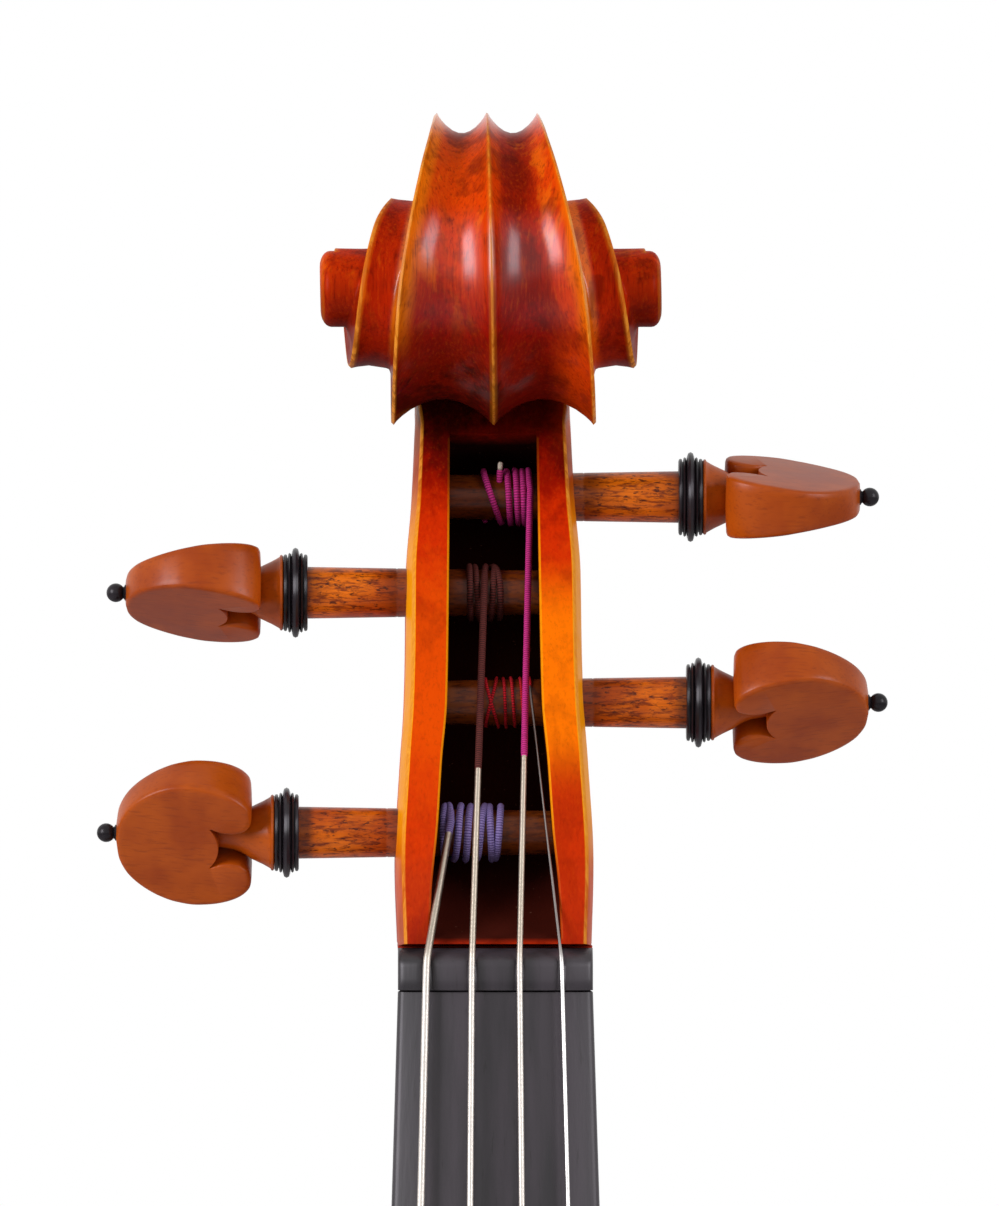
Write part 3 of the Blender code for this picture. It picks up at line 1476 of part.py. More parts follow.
def tailpiece_fret():
    """The ridge that three of the strings pass over, ended beside the tuner."""
    first = -tail_half(FRET_Z) + 2 * MM
    last = string_at_tail("a") - TUNER_HALF - 2 * GAP
    rings = []
    for k in range(7):
        x = first + (last - first) * k / 6
        foot, top = fret_top(x) + FRET_HEIGHT, fret_top(x)
        wide, slim = FRET_WIDTH / 2, FRET_WIDTH / 5
        section = ((foot, -wide), (foot, wide), (top, slim), (top, -slim))
        rings.append([(x, y, FRET_Z + off) for y, off in section])
    return loft("tailpiece_fret", rings, EBONY)


def tail_slot(name):
    """The end of a string: at the tuner's hook, or over the fret and down its slot."""
    if name == "a":
        return [tuner_hook()]
    wide = STRINGS[name][0]
    x = string_at_tail(name)
    middle = SLOT_TOP - 0.55 * SLOT_LENGTH
    return [
        Vector((x, fret_top(x) - GAP - wide / 2, FRET_Z)),
        Vector((x, tail_front(x, middle) + MM, middle)),
        Vector((x, tail_back(x, middle) + 2 * MM, middle - MM)),
    ]


def tail_gut():
    """A cord from the tailpiece over the saddle, round the button's waist and back."""
    wide = GUT_DIAMETER / 2
    over = TOP_EDGE_Y - SADDLE_HEIGHT - wide - GAP
    side = GUT_SPREAD
    centre = button_centre()
    waist = BUTTON_PIN / 2 + 0.6 * MM + wide + GAP
    level = centre.z + OVERHANG - GAP - 5 * MM
    half = [
        (side, gut_level(), TAIL_LOW + GUT_REACH),
        (side, gut_level(), TAIL_LOW - MM),
        (side, over, BODY_BOTTOM + 5.5 * MM),
        (side, over, BODY_BOTTOM + 1.5 * MM),
        (side, over + 1.5 * MM, BODY_BOTTOM - wide - GAP),
        (side, TOP_INNER_Y, level),
        (waist, centre.y - 4 * MM, level),
    ]
    turn = [
        (waist * math.cos(math.pi * k / 8), centre.y + waist * math.sin(math.pi * k / 8), level)
        for k in range(9)
    ]
    back = [(-x, y, z) for x, y, z in reversed(half)]
    return tube("tail_gut", smooth_path(half + turn + back, 2), GUT_DIAMETER, GUT, resolution=1)


# Fine tuner on the A string


def tuner_levels():
    """Place across, the tailpiece's front and back there, and the end the lever hangs from."""
    x = string_at_tail("a")
    near, far = x - TUNER_HALF, x + TUNER_HALF
    return x, tail_front(near, TAIL_HIGH) - GAP, tail_back(far, TAIL_HIGH) + GAP, TAIL_HIGH + TUNER_RELIEF


def tuner_hook():
    x, front, under, end = tuner_levels()
    return Vector((x, front - TUNER_PLATE, end + 2.6 * MM + 3 * GAP))


def screw_hole(name, radius, reach):
    """A hole across the tailpiece's end for the tuner's screw."""
    x, front, under, end = tuner_levels()
    z = TAIL_HIGH - SCREW_SETBACK
    ends = (x, front - reach, z), (x, under + reach, z)
    return pin(name, *ends, radius, radius, None, cutter=True, sides=12)


def side_piece(name, outline, low, high, material):
    """A flat piece in the Y-Z plane from an outline of (y, z), between two places across."""
    rings = [[(x, y, z) for y, z in outline] for x in (low, high)]
    return loft(name, rings, material)


def tuner():
    """A body over the tailpiece's end, a lever under it, and a screw with its knob."""
    x, front, under, end = tuner_levels()
    foot = TAIL_HIGH - SCREW_SETBACK - 4 * MM
    slope = tail_back(0, foot) - tail_back(0, TAIL_HIGH)
    plate = front - TUNER_PLATE
    back = under + 3 * MM
    outline = [
        (front + slope, foot), (front, TAIL_HIGH), (front, end), (back, end), (back, end + 3.4 * MM),
        (plate, end + 3.4 * MM), (plate + slope, foot),
    ]
    body = side_piece("tuner_body", outline, x - TUNER_HALF, x + TUNER_HALF, STEEL)
    fork = LEVER_HALF + GAP
    low, high = (x - fork, plate - MM, TAIL_HIGH), (x + fork, back + MM, end + 6 * MM)
    boolean(body, box("tuner_fork", low, high, None, cutter=True))
    boolean(body, screw_hole("tuner_thread", SCREW_RADIUS + GAP, TAILPIECE_THICKNESS))
    pivot = Vector((x, under + 1.2 * MM, end + 1.7 * MM))
    across = Vector((TUNER_HALF, 0, 0))
    room = PIVOT_RADIUS + GAP
    boolean(body, pin("pivot_hole", pivot - 2 * across, pivot + 2 * across, room, room, None, True, 10))
    tip = TAIL_HIGH - SCREW_SETBACK - 2 * MM
    lean = tail_back(0, tip) - tail_back(0, TAIL_HIGH) + MM
    arm = [
        (under + lean, tip), (under + 0.2 * MM, end), (under + 0.2 * MM, end + 0.6 * MM),
        (plate - MM, end + 0.6 * MM), (plate - MM, end + 2.6 * MM), (under + 2.4 * MM, end + 2.6 * MM),
        (under + lean + 1.5 * MM, tip),
    ]
    lever = side_piece("tuner_lever", arm, x - LEVER_HALF, x + LEVER_HALF, STEEL)
    rod = pin("pivot_pin", pivot - across, pivot + across, PIVOT_RADIUS, PIVOT_RADIUS, None, True, 10)
    boolean(lever, rod, "UNION")
    z = TAIL_HIGH - SCREW_SETBACK
    nearest = (end + 3.4 * MM - z - KNOB_RADIUS) / (end + 3.4 * MM - foot)
    seat = plate + slope * nearest - SCREW_TRAVEL - 2 * GAP
    top = seat - KNOB_HEIGHT
    touch = under + lean * 0.72 - GAP
    pin("tuner_shank", (x, touch, z), (x, top + MM, z), SCREW_RADIUS, SCREW_RADIUS, STEEL, sides=10)
    bore = SCREW_RADIUS + GAP
    rim = [(bore, 0.0), (KNOB_RADIUS, 0.0), (KNOB_RADIUS, -KNOB_HEIGHT), (bore, -KNOB_HEIGHT)]
    knob = turned("tuner_knob", rim, STEEL, steps=12, closed=True)
    knob.rotation_euler = (math.pi / 2, 0, 0)
    knob.location = (x, top, z)


# Chinrest


def jaw_outline(out, inside):
    """The strip along the lower bass edge that the clamp grips."""
    first, last = JAW_SPAN
    spots = [first + (last - first) * k / 4 for k in range(5)]
    outer = [edge_point(0, t, -out) for t in spots]
    inner = [edge_point(0, t, inside) for t in reversed(spots)]
    return mirrored(outer + inner, -1)


def chinrest_levels():
    top_pad = (TOP_EDGE_Y - GAP - CORK_THICKNESS, TOP_EDGE_Y - GAP)
    top_jaw = (top_pad[0] - GAP - CHINREST_LIFT, top_pad[0] - GAP)
    back = BACK_INNER_Y + PLATE_THICKNESS
    foot_pad = (back + GAP, back + GAP + CORK_THICKNESS)
    foot_jaw = (foot_pad[1] + GAP, foot_pad[1] + GAP + JAW_THICKNESS)
    return top_pad, top_jaw, foot_pad, foot_jaw


def post_places():
    return mirrored([edge_point(0, t, -POST_OUT) for t in POST_SPAN], -1)


def chinrest():
    """A dished cup on a cork-faced foot, clamped to the bass edge by two barrels."""
    top_pad, top_jaw, foot_pad, foot_jaw = chinrest_levels()
    pad = jaw_outline(-0.5 * MM, JAW_REACH)
    flat("chinrest_top_cork", [pad], *top_pad, CORK_FINISH)
    flat("chinrest_foot_cork", [pad], *foot_pad, CORK_FINISH)
    shape = jaw_outline(POST_OUT + 3 * MM, JAW_REACH)
    upper = flat("chinrest_clamp", [shape], *top_jaw, EBONY)
    foot = flat("chinrest_foot", [shape], *foot_jaw, STEEL)
    middle = (top_jaw[1] + foot_jaw[0]) / 2
    half = BARREL_LENGTH / 2
    inside = 6 * MM
    for i, (x, z) in enumerate(post_places()):
        start = Vector((x, top_jaw[1] - MM, z))
        end = Vector((x, middle - half + inside, z))
        boolean(upper, pin(f"top_post_{i}", start, end, POST_RADIUS, POST_RADIUS, None, True, 10), "UNION")
        start = Vector((x, foot_jaw[0] + MM, z))
        end = Vector((x, middle + half - inside, z))
        boolean(foot, pin(f"foot_post_{i}", start, end, POST_RADIUS, POST_RADIUS, None, True, 10), "UNION")
        ring = [
            (POST_RADIUS + GAP, half), (BARREL_RADIUS, half), (BARREL_RADIUS, -half),
            (POST_RADIUS + GAP, -half),
        ]
        barrel = turned(f"chinrest_barrel_{i + 1}", ring, STEEL, steps=12, closed=True)
        barrel.rotation_euler = (math.pi / 2, 0, 0)
        barrel.location = (x, middle, z)
    cup_back = top_jaw[0] - GAP
    rings = []
    bowl = 1 - CHINREST_DISH / CHINREST_RIM
    levels = ((0.72, 0.0), (0.94, 0.25), (1.0, 0.7), (0.97, 1.0), (0.88, 0.95), (0.6, bowl))
    for share, rise in levels:
        ring = []
        for k in range(20):
            angle = 2 * math.pi * k / 20
            x = CHINREST_HALF[0] * share * math.cos(angle)
            up = CHINREST_HALF[1] * share * math.sin(angle)
            up += BODY_BOTTOM + CHINREST_CENTRE[1] + 5 * MM * share * math.cos(angle) ** 2
            ring.append((-CHINREST_CENTRE[0] - x, cup_back - rise * CHINREST_RIM, up))
        rings.append(ring)
    loft("chinrest_cup", rings, EBONY)


# The whole instrument

neck_and_scroll()
for row in PEG_HEADS:
    peg(*row)
for string_name in STRINGS:
    string(string_name)
top_plate()
back_plate()
inner_body()
bass_bar()
sound_post()
nut()
fingerboard()
saddle()
end_button()
bridge()
tailpiece()
tailpiece_fret()
tail_gut()
tuner()
chinrest()
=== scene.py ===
"""The looks of a viola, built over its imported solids: varnished wood, turned fittings and wound strings.

Every length is in metres, in the frame of the solids: the scroll is up and the front faces -Y.
"""

import math

import bmesh
import bpy
import numpy as np
from mathutils import Matrix, Vector, geometry


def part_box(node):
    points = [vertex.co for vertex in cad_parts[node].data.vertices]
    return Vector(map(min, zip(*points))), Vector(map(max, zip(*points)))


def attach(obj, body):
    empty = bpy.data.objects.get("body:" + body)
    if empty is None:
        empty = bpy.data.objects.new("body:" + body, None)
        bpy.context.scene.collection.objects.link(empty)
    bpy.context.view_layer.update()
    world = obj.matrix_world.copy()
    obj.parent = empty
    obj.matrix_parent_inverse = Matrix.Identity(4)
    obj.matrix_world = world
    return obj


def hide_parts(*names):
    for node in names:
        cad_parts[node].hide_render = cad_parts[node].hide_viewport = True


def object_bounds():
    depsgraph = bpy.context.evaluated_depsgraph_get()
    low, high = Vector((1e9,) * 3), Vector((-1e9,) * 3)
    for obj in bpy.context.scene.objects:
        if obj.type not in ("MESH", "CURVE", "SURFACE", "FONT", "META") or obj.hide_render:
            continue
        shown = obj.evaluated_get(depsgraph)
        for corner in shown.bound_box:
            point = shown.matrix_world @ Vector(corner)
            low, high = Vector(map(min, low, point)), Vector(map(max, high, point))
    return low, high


bl_info = {
    "name": "Viola",
    "version": (1, 0, 0),
    "blender": (4, 5, 0),
    "location": "View3D > Sidebar > Viola",
    "description": "Dresses the solids of a viola with wood, silk, gut and metal",
    "category": "Object",
}

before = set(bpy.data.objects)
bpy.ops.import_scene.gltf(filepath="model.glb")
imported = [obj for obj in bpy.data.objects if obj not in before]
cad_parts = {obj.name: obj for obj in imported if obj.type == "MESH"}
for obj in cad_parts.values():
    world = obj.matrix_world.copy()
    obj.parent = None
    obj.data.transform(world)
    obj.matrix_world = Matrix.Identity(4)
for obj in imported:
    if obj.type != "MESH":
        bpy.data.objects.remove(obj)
SOLID_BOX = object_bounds()
MM = 0.001


def paint(red, green, blue):
    """A colour as a screen shows it, from 0 to 255, as the light it stands for."""
    light = []
    for part in (red, green, blue):
        share = part / 255
        light.append(share / 12.92 if share < 0.04045 else ((share + 0.055) / 1.055) ** 2.4)
    return (*light, 1.0)


# Materials

VARNISH = {
    "Specular IOR Level": 0.16,
    "IOR": 1.5,
    "Coat Weight": 0.12,
    "Coat Roughness": 0.2,
    "Coat IOR": 1.5,
}


class Value:
    """A socket of a material. Plain sums on it add the Math nodes that they need."""

    def __init__(self, finish, socket):
        self.finish = finish
        self.socket = socket

    def __add__(self, other):
        return self.finish.maths("ADD", self, other)

    def __radd__(self, other):
        return self.finish.maths("ADD", other, self)

    def __sub__(self, other):
        return self.finish.maths("SUBTRACT", self, other)

    def __rsub__(self, other):
        return self.finish.maths("SUBTRACT", other, self)

    def __mul__(self, other):
        return self.finish.maths("MULTIPLY", self, other)

    def __rmul__(self, other):
        return self.finish.maths("MULTIPLY", other, self)

    def __truediv__(self, other):
        return self.finish.maths("DIVIDE", self, other)

    def __pow__(self, other):
        return self.finish.maths("POWER", self, other)


class Finish:
    """A material with one Principled shader and the nodes that drive it."""

    def __init__(self, name, constants=None):
        self.material = bpy.data.materials.new(name)
        self.material.use_nodes = True
        self.tree = self.material.node_tree
        self.shader = self.tree.nodes["Principled BSDF"]
        for socket, value in (constants or {}).items():
            self.shader.inputs[socket].default_value = value
        self.object = self.node("ShaderNodeTexCoord", output="Object")

    def node(self, kind, settings=None, inputs=None, output=0):
        """Any node, from its type, its settings and the values or links of its sockets."""
        made = self.tree.nodes.new(kind)
        for key, value in (settings or {}).items():
            setattr(made, key, value)
        for key, value in (inputs or {}).items():
            self.feed(made.inputs[key], value)
        return Value(self, made.outputs[output])

    def feed(self, socket, value):
        if isinstance(value, Value):
            self.tree.links.new(value.socket, socket)
        else:
            socket.default_value = value

    def maths(self, operation, *values):
        return self.node("ShaderNodeMath", {"operation": operation}, dict(enumerate(values)))

    def clamp(self, value):
        return self.node("ShaderNodeClamp", None, {"Value": value})

    def mapped(self, scale=(1, 1, 1), turn=(0, 0, 0), move=(0, 0, 0)):
        """Object coordinates, moved, turned and stretched."""
        inputs = {"Vector": self.object, "Scale": scale, "Rotation": turn, "Location": move}
        return self.node("ShaderNodeMapping", {"vector_type": "POINT"}, inputs)

    def noise(self, vector, scale=1.0, detail=3.0, roughness=0.5, distortion=0.0):
        inputs = {
            "Vector": vector,
            "Scale": scale,
            "Detail": detail,
            "Roughness": roughness,
            "Distortion": distortion,
        }
        return self.node("ShaderNodeTexNoise", None, inputs)

    def wave(self, vector, scale, direction="X", distortion=0.0, detail=2.0, detail_scale=1.0):
        inputs = {
            "Vector": vector,
            "Scale": scale,
            "Distortion": distortion,
            "Detail": detail,
            "Detail Scale": detail_scale,
        }
        settings = {"wave_type": "BANDS", "bands_direction": direction}
        return self.node("ShaderNodeTexWave", settings, inputs, "Fac")

    def rise(self, value, low, high):
        """0 below low, 1 above high, and smooth between."""
        inputs = {"Value": value, "From Min": low, "From Max": high}
        return self.node("ShaderNodeMapRange", {"interpolation_type": "SMOOTHSTEP"}, inputs)

    def mix(self, share, low, high, blend="MIX"):
        """A colour between two, or one laid over the other."""
        made = self.tree.nodes.new("ShaderNodeMix")
        made.data_type = "RGBA"
        made.blend_type = blend
        self.feed(made.inputs[0], share)
        self.feed(made.inputs[6], low)
        self.feed(made.inputs[7], high)
        return Value(self, made.outputs[2])

    def stops(self, value, places):
        """A colour that changes smoothly from one place of a value to the next."""
        colour = places[0][1]
        for (low, first), (high, second) in zip(places, places[1:]):
            colour = self.mix(self.rise(value, low, high), colour, second)
        return colour

    def axis(self, name):
        """One of the object coordinates."""
        return self.node("ShaderNodeSeparateXYZ", None, {0: self.object}, name)

    def attribute(self, name):
        return self.node("ShaderNodeAttribute", {"attribute_name": name}, None, "Fac")

    def wear(self, colour=None, roughness=None, height=None, depth=0.1 * MM, strength=0.5):
        """Links what changes over the surface: its colour, its roughness and its relief."""
        if colour is not None:
            self.feed(self.shader.inputs["Base Color"], colour)
        if roughness is not None:
            self.feed(self.shader.inputs["Roughness"], roughness)
        if height is not None:
            inputs = {"Height": height, "Distance": depth, "Strength": strength}
            self.feed(self.shader.inputs["Normal"], self.node("ShaderNodeBump", None, inputs))
        return self.material


def varnished_maple(name, grain="Z", figure=0.0):
    """Red-brown oil varnish over maple: flecks along the grain, soft flames across it."""
    made = Finish(name, VARNISH)
    long = {"X": (40, 700, 700), "Z": (700, 700, 40)}[grain]
    flecks = made.noise(made.mapped(long), 1.0, 4.0, 0.65)
    blotch = made.noise(made.mapped((1, 1, 1)), 55.0, 3.0, 0.6, 0.4)
    cloud = made.noise(made.mapped((1, 1, 1), move=(3, 1, 2)), 24.0, 2.0, 0.5)
    deep, mid, light = paint(104, 18, 3), paint(178, 46, 4), paint(216, 82, 10)
    colour = made.mix(made.rise(blotch, 0.3, 0.7), mid, light)
    colour = made.mix(made.rise(cloud, 0.35, 0.65) * 0.55, colour, deep)
    colour = made.mix(made.rise(flecks, 0.56, 0.72) * 0.45, colour, deep)
    if figure:
        bands = made.wave(made.mapped((1, 1, 1), turn=(0, 0.12, 0)), 110.0, "Z", 5.0, 3.0, 0.7)
        colour = made.mix(made.rise(bands, 0.35, 0.9) * figure, colour, paint(112, 28, 6))
    roughness = 0.24 + made.rise(blotch, 0.3, 0.8) * 0.12
    return made.wear(colour, roughness, flecks * 0.5 + blotch, 0.15 * MM, 0.12)


def head_varnish(name):
    """The head's varnish: golden patches high up and worn amber along the edges. Painted light and shade lie over
    it: deep red to near black in the throat and the pegbox's hollow, a lighter golden upper left, lit and shaded
    halves of the flutes, a lighter right cheek, a darker lower eye, rim light on the cheeks' sides and a highlight
    along their front edges.
    """
    made = Finish(name, VARNISH | {"Specular IOR Level": 0.012, "Coat Roughness": 0.22})
    height, across = made.axis("Z"), made.axis("X")
    away = made.maths("ABSOLUTE", across)
    hollow, edge = made.attribute("hollow"), made.attribute("edge")
    streaks = made.noise(made.mapped((2800, 2800, 90)), 1.0, 4.0, 0.7, 0.2)
    broad = made.noise(made.mapped((900, 900, 40)), 1.0, 3.0, 0.6, 0.4)
    clouds = made.noise(made.mapped((150, 150, 60)), 1.0, 4.0, 0.65, 0.4)
    blotch = made.noise(made.mapped((1, 1, 1)), 260.0, 3.0, 0.65, 0.3)
    scroll = made.rise(height, -12 * MM, -6 * MM)
    place = height + (broad - 0.5) * 0.01 + (clouds - 0.5) * 0.016
    # The tone by height is partly painted shade: deep red to near black in the throat under the scroll, and darker
    # on the scroll's lower front. It also turns redder towards the nut.
    colour = made.stops(
        place,
        (
            (-232 * MM, paint(170, 66, 12)), (-216 * MM, paint(198, 128, 62)),
            (-94 * MM, paint(198, 124, 58)), (-85 * MM, paint(146, 34, 10)),
            (-76 * MM, paint(158, 36, 14)), (-69 * MM, paint(188, 50, 12)), (-60 * MM, paint(208, 54, 4)),
            (-47 * MM, paint(224, 74, 2)), (-32 * MM, paint(218, 70, 2)), (-22 * MM, paint(204, 44, 2)),
            (-14 * MM, paint(152, 20, 2)), (-9 * MM, paint(110, 12, 5)), (-5 * MM, paint(62, 8, 4)),
            (1 * MM, paint(122, 18, 2)), (8 * MM, paint(144, 8, 2)), (16 * MM, paint(196, 42, 2)),
            (24 * MM, paint(208, 58, 2)), (32 * MM, paint(196, 66, 8)),
        ),
    )
    high = made.rise(height, 3 * MM, 15 * MM)
    # How far out a place lies between the spine and the first turn's edge
    share = made.maths("DIVIDE", across, 13.1 * MM - height * 0.045 - height * height * 4.1)
    beyond = made.maths("ABSOLUTE", share)
    # Painted light: the scroll's upper left is lighter and more golden.
    golden = made.rise(clouds * 0.04 - across + height * 0.4, 0.026, 0.04) * high
    colour = made.mix(golden * 0.35, colour, paint(196, 78, 8))
    # Painted light and shade on the flutes: darker over the right flute's inner half, lighter over its outer half
    # and over the left flute's inner half.
    right = made.rise(share, 0.02, 0.14) * made.rise(share, 0.75, 0.45) * scroll
    colour = made.mix(right * (0.3 + high * 0.45), colour, paint(146, 14, 2))
    lit = made.rise(share, 0.5, 0.8)
    colour = made.mix(lit * scroll * 0.6, colour, paint(222, 66, 2))
    inner = made.rise(share, -0.6, -0.4) * made.rise(share, -0.03, -0.12) * high
    colour = made.mix(inner * 0.4, colour, paint(222, 70, 1))
    border = made.rise(beyond, 0.8, 0.96) * made.rise(beyond, 1.1, 1.04) * made.rise(height, 0, 9 * MM)
    colour = made.mix(border * 0.5, colour, paint(244, 140, 12))
    # Painted light: the right cheek is a lighter orange. Lower down, the right side turns a darker red.
    cheek = made.rise(height, -56 * MM, -48 * MM) * made.rise(height, -24 * MM, -34 * MM)
    right_cheek = made.rise(across, -2 * MM, 4 * MM)
    colour = made.mix(right_cheek * cheek * 0.8, colour, paint(254, 124, 2))
    lower = made.rise(height, -46 * MM, -58 * MM) * made.rise(height, -88 * MM, -80 * MM)
    colour = made.mix(right_cheek * lower * 0.6, colour, paint(186, 42, 6))
    outer = made.rise(beyond, 1.04, 1.12) * made.rise(height, -16 * MM, -9 * MM)
    shaded = made.mix(made.rise(height, 8 * MM, -3 * MM), paint(178, 36, 2), paint(116, 16, 3))
    colour = made.mix(outer * 0.85, colour, shaded)
    # Painted shade: the eye is a darker red on its lower half.
    eye = made.rise(away, 17.4 * MM, 18 * MM)
    colour = made.mix(eye * 0.8, colour, made.mix(made.rise(height, 15.5 * MM, 6 * MM), paint(212, 54, 3), paint(116, 22, 5)))
    colour = made.mix(made.rise(clouds, 0.5, 0.64) * (0.2 + scroll * 0.35), colour, paint(96, 10, 2))
    colour = made.mix(made.rise(clouds, 0.46, 0.34) * high * 0.5, colour, paint(236, 112, 8))
    colour = made.mix(made.rise(blotch, 0.5, 0.68) * (0.14 + scroll * 0.3), colour, paint(84, 10, 2))
    colour = made.mix(made.rise(streaks, 0.5, 0.7) * (0.2 + scroll * 0.34), colour, paint(88, 10, 2))
    colour = made.mix(made.rise(streaks, 0.48, 0.3) * (0.08 + high * 0.1), colour, paint(238, 110, 6))
    # The edges are worn amber and paler on their chamfers. On the pegbox, the amber band over the cheeks' sides is
    # partly painted rim light, and the pale line along their chamfers is partly a painted highlight.
    flank = made.rise(height, -68 * MM, -56 * MM) * made.rise(height, -13 * MM, -25 * MM) * (1 - scroll)
    band = made.rise(edge, 0.15, 0.5) * (0.12 + flank * 0.88)
    amber = made.mix(streaks, paint(255, 184, 12), paint(226, 112, 4))
    colour = made.mix(made.clamp(band), colour, amber)
    worn = made.rise(edge, 0.55, 0.95) * (0.3 + flank * 0.5 + made.rise(broad, 0.4, 0.6) * 0.5)
    colour = made.mix(made.clamp(worn), colour, made.mix(streaks, paint(252, 184, 66), paint(206, 96, 14)))
    # Painted shade: the pegbox's hollow is near black, least dark towards the nut, with pale specks of dust.
    dust = made.rise(made.noise(made.object, 1500.0, 2.0), 0.7, 0.76)
    hollow_shade_tone = made.mix(made.rise(height, -58 * MM, -72 * MM), paint(26, 9, 6), paint(58, 20, 13))
    hollow_shade_tone = made.mix(dust * 0.35, hollow_shade_tone, paint(150, 110, 90))
    colour = made.mix(made.clamp(hollow * 0.97), colour, hollow_shade_tone)
    polish = made.rise(height, 4 * MM, 9 * MM) * made.rise(height, 22 * MM, 17 * MM) * (1 - outer)
    glare = made.rise(height, 30 * MM, 34 * MM)
    throat = made.rise(height, -10 * MM, -6 * MM) * made.rise(height, 3 * MM, -1 * MM) * made.rise(blotch, 0.4, 0.6)
    gloss = 0.03 + polish * (0.45 + blotch * 0.45) + glare * 0.9 + throat * 0.25
    made.feed(made.shader.inputs["Coat Weight"], made.clamp(gloss * (1 - hollow)))
    roughness = 0.36 + made.rise(blotch, 0.3, 0.8) * 0.12 + hollow * 0.5
    return made.wear(colour, roughness, streaks * 0.6 + blotch * 0.7 + broad * 0.6, 0.12 * MM, 0.12)


def inlaid(made, colour):
    """The worn edge of a plate and the three strips let in along it."""
    inset = made.attribute("inset")
    worn = made.rise(inset, 1.7 * MM, 0.3 * MM) * made.rise(made.noise(made.object, 160.0), 0.35, 0.6)
    colour = made.mix(worn * 0.6, colour, paint(226, 150, 62))
    colour = made.mix(made.rise(inset, 7 * MM, 4.5 * MM) * 0.3, colour, paint(96, 30, 8))
    strips = made.rise(inset, 3.85 * MM, 3.95 * MM) * made.rise(inset, 5.15 * MM, 5.05 * MM)
    middle = made.rise(inset, 4.25 * MM, 4.35 * MM) * made.rise(inset, 4.75 * MM, 4.65 * MM)
    colour = made.mix(strips, colour, paint(28, 16, 10))
    return made.mix(middle, colour, paint(206, 158, 92))


def top_varnish(name):
    """Golden-red varnish over fine straight spruce grain, darker round the edge."""
    made = Finish(name, VARNISH)
    lines = made.wave(made.mapped((1, 0, 0.02)), 420.0, "X", 1.0, 2.0, 2.0)
    fine = made.noise(made.mapped((1800, 300, 25)), 1.0, 3.0, 0.6)
    cloud = made.noise(made.mapped((1, 1, 0.6)), 17.0, 4.0, 0.6, 0.3)
    colour = made.mix(made.rise(cloud, 0.32, 0.68), paint(190, 66, 8), paint(222, 110, 20))
    colour = made.mix(made.rise(lines, 0.5, 1.0) * 0.55, colour, paint(130, 40, 6))
    colour = made.mix(made.rise(fine, 0.55, 0.8) * 0.35, colour, paint(112, 32, 6))
    return made.wear(inlaid(made, colour), 0.24 + cloud * 0.14, lines + fine, 0.1 * MM, 0.12)


def back_varnish(name):
    """Red-brown varnish over flamed maple, its flames slanting up from the joint."""
    made = Finish(name, VARNISH)
    parts = {key: made.axis(key) for key in "XYZ"}
    away = made.maths("ABSOLUTE", parts["X"])
    inputs = {"X": away * 0.6, "Y": parts["Y"], "Z": parts["Z"] - away * 0.22}
    folded = made.node("ShaderNodeCombineXYZ", None, inputs)
    flames = made.wave(folded, 58.0, "Z", 8.0, 3.0, 1.1)
    strong = made.rise(made.noise(made.mapped((1, 1, 0.5)), 26.0, 3.0, 0.6, 0.2), 0.35, 0.65)
    fine = made.noise(made.mapped((900, 900, 60)), 1.0, 3.0, 0.6)
    cloud = made.noise(made.mapped((1, 1, 0.6)), 15.0, 4.0, 0.6, 0.3)
    colour = made.mix(made.rise(cloud, 0.32, 0.68), paint(176, 50, 6), paint(214, 92, 14))
    colour = made.mix(made.rise(flames, 0.35, 0.8) * (0.15 + strong * 0.4), colour, paint(104, 24, 4))
    colour = made.mix(made.rise(fine, 0.52, 0.75) * 0.35, colour, paint(96, 22, 4))
    colour = made.mix(made.rise(away, 0.3 * MM, 0.05 * MM) * 0.6, colour, paint(70, 16, 4))
    return made.wear(inlaid(made, colour), 0.22 + cloud * 0.14, flames * 0.5 + fine, 0.1 * MM, 0.1)


def varnished_spruce(name):
    made = Finish(name, VARNISH)
    lines = made.wave(made.mapped((1, 0.2, 0.02)), 340.0, "X", 1.2, 2.0, 2.0)
    fine = made.noise(made.mapped((1600, 300, 25)), 1.0, 3.0, 0.6)
    cloud = made.noise(made.mapped((1, 1, 1)), 14.0, 3.0, 0.6, 0.3)
    colour = made.mix(made.rise(cloud, 0.3, 0.7), paint(206, 92, 16), paint(222, 124, 34))
    colour = made.mix(made.rise(lines, 0.55, 1.0) * 0.5, colour, paint(140, 48, 10))
    colour = made.mix(made.rise(fine, 0.6, 0.8) * 0.3, colour, paint(120, 40, 8))
    return made.wear(colour, 0.26 + cloud * 0.12, lines + fine, 0.1 * MM, 0.15)


def bare_wood(name, pale, dark, grain=(500, 500, 30), roughness=0.55):
    """Plain unvarnished wood, its grain along Z."""
    made = Finish(name)
    fibre = made.noise(made.mapped(grain), 1.0, 4.0, 0.6)
    cloud = made.noise(made.mapped((1, 1, 1)), 60.0, 2.0, 0.5)
    colour = made.mix(made.rise(fibre, 0.42, 0.7), pale, dark)
    colour = made.mix(made.rise(cloud, 0.4, 0.7) * 0.3, colour, dark)
    return made.wear(colour, roughness + fibre * 0.15, fibre, 0.1 * MM, 0.25)


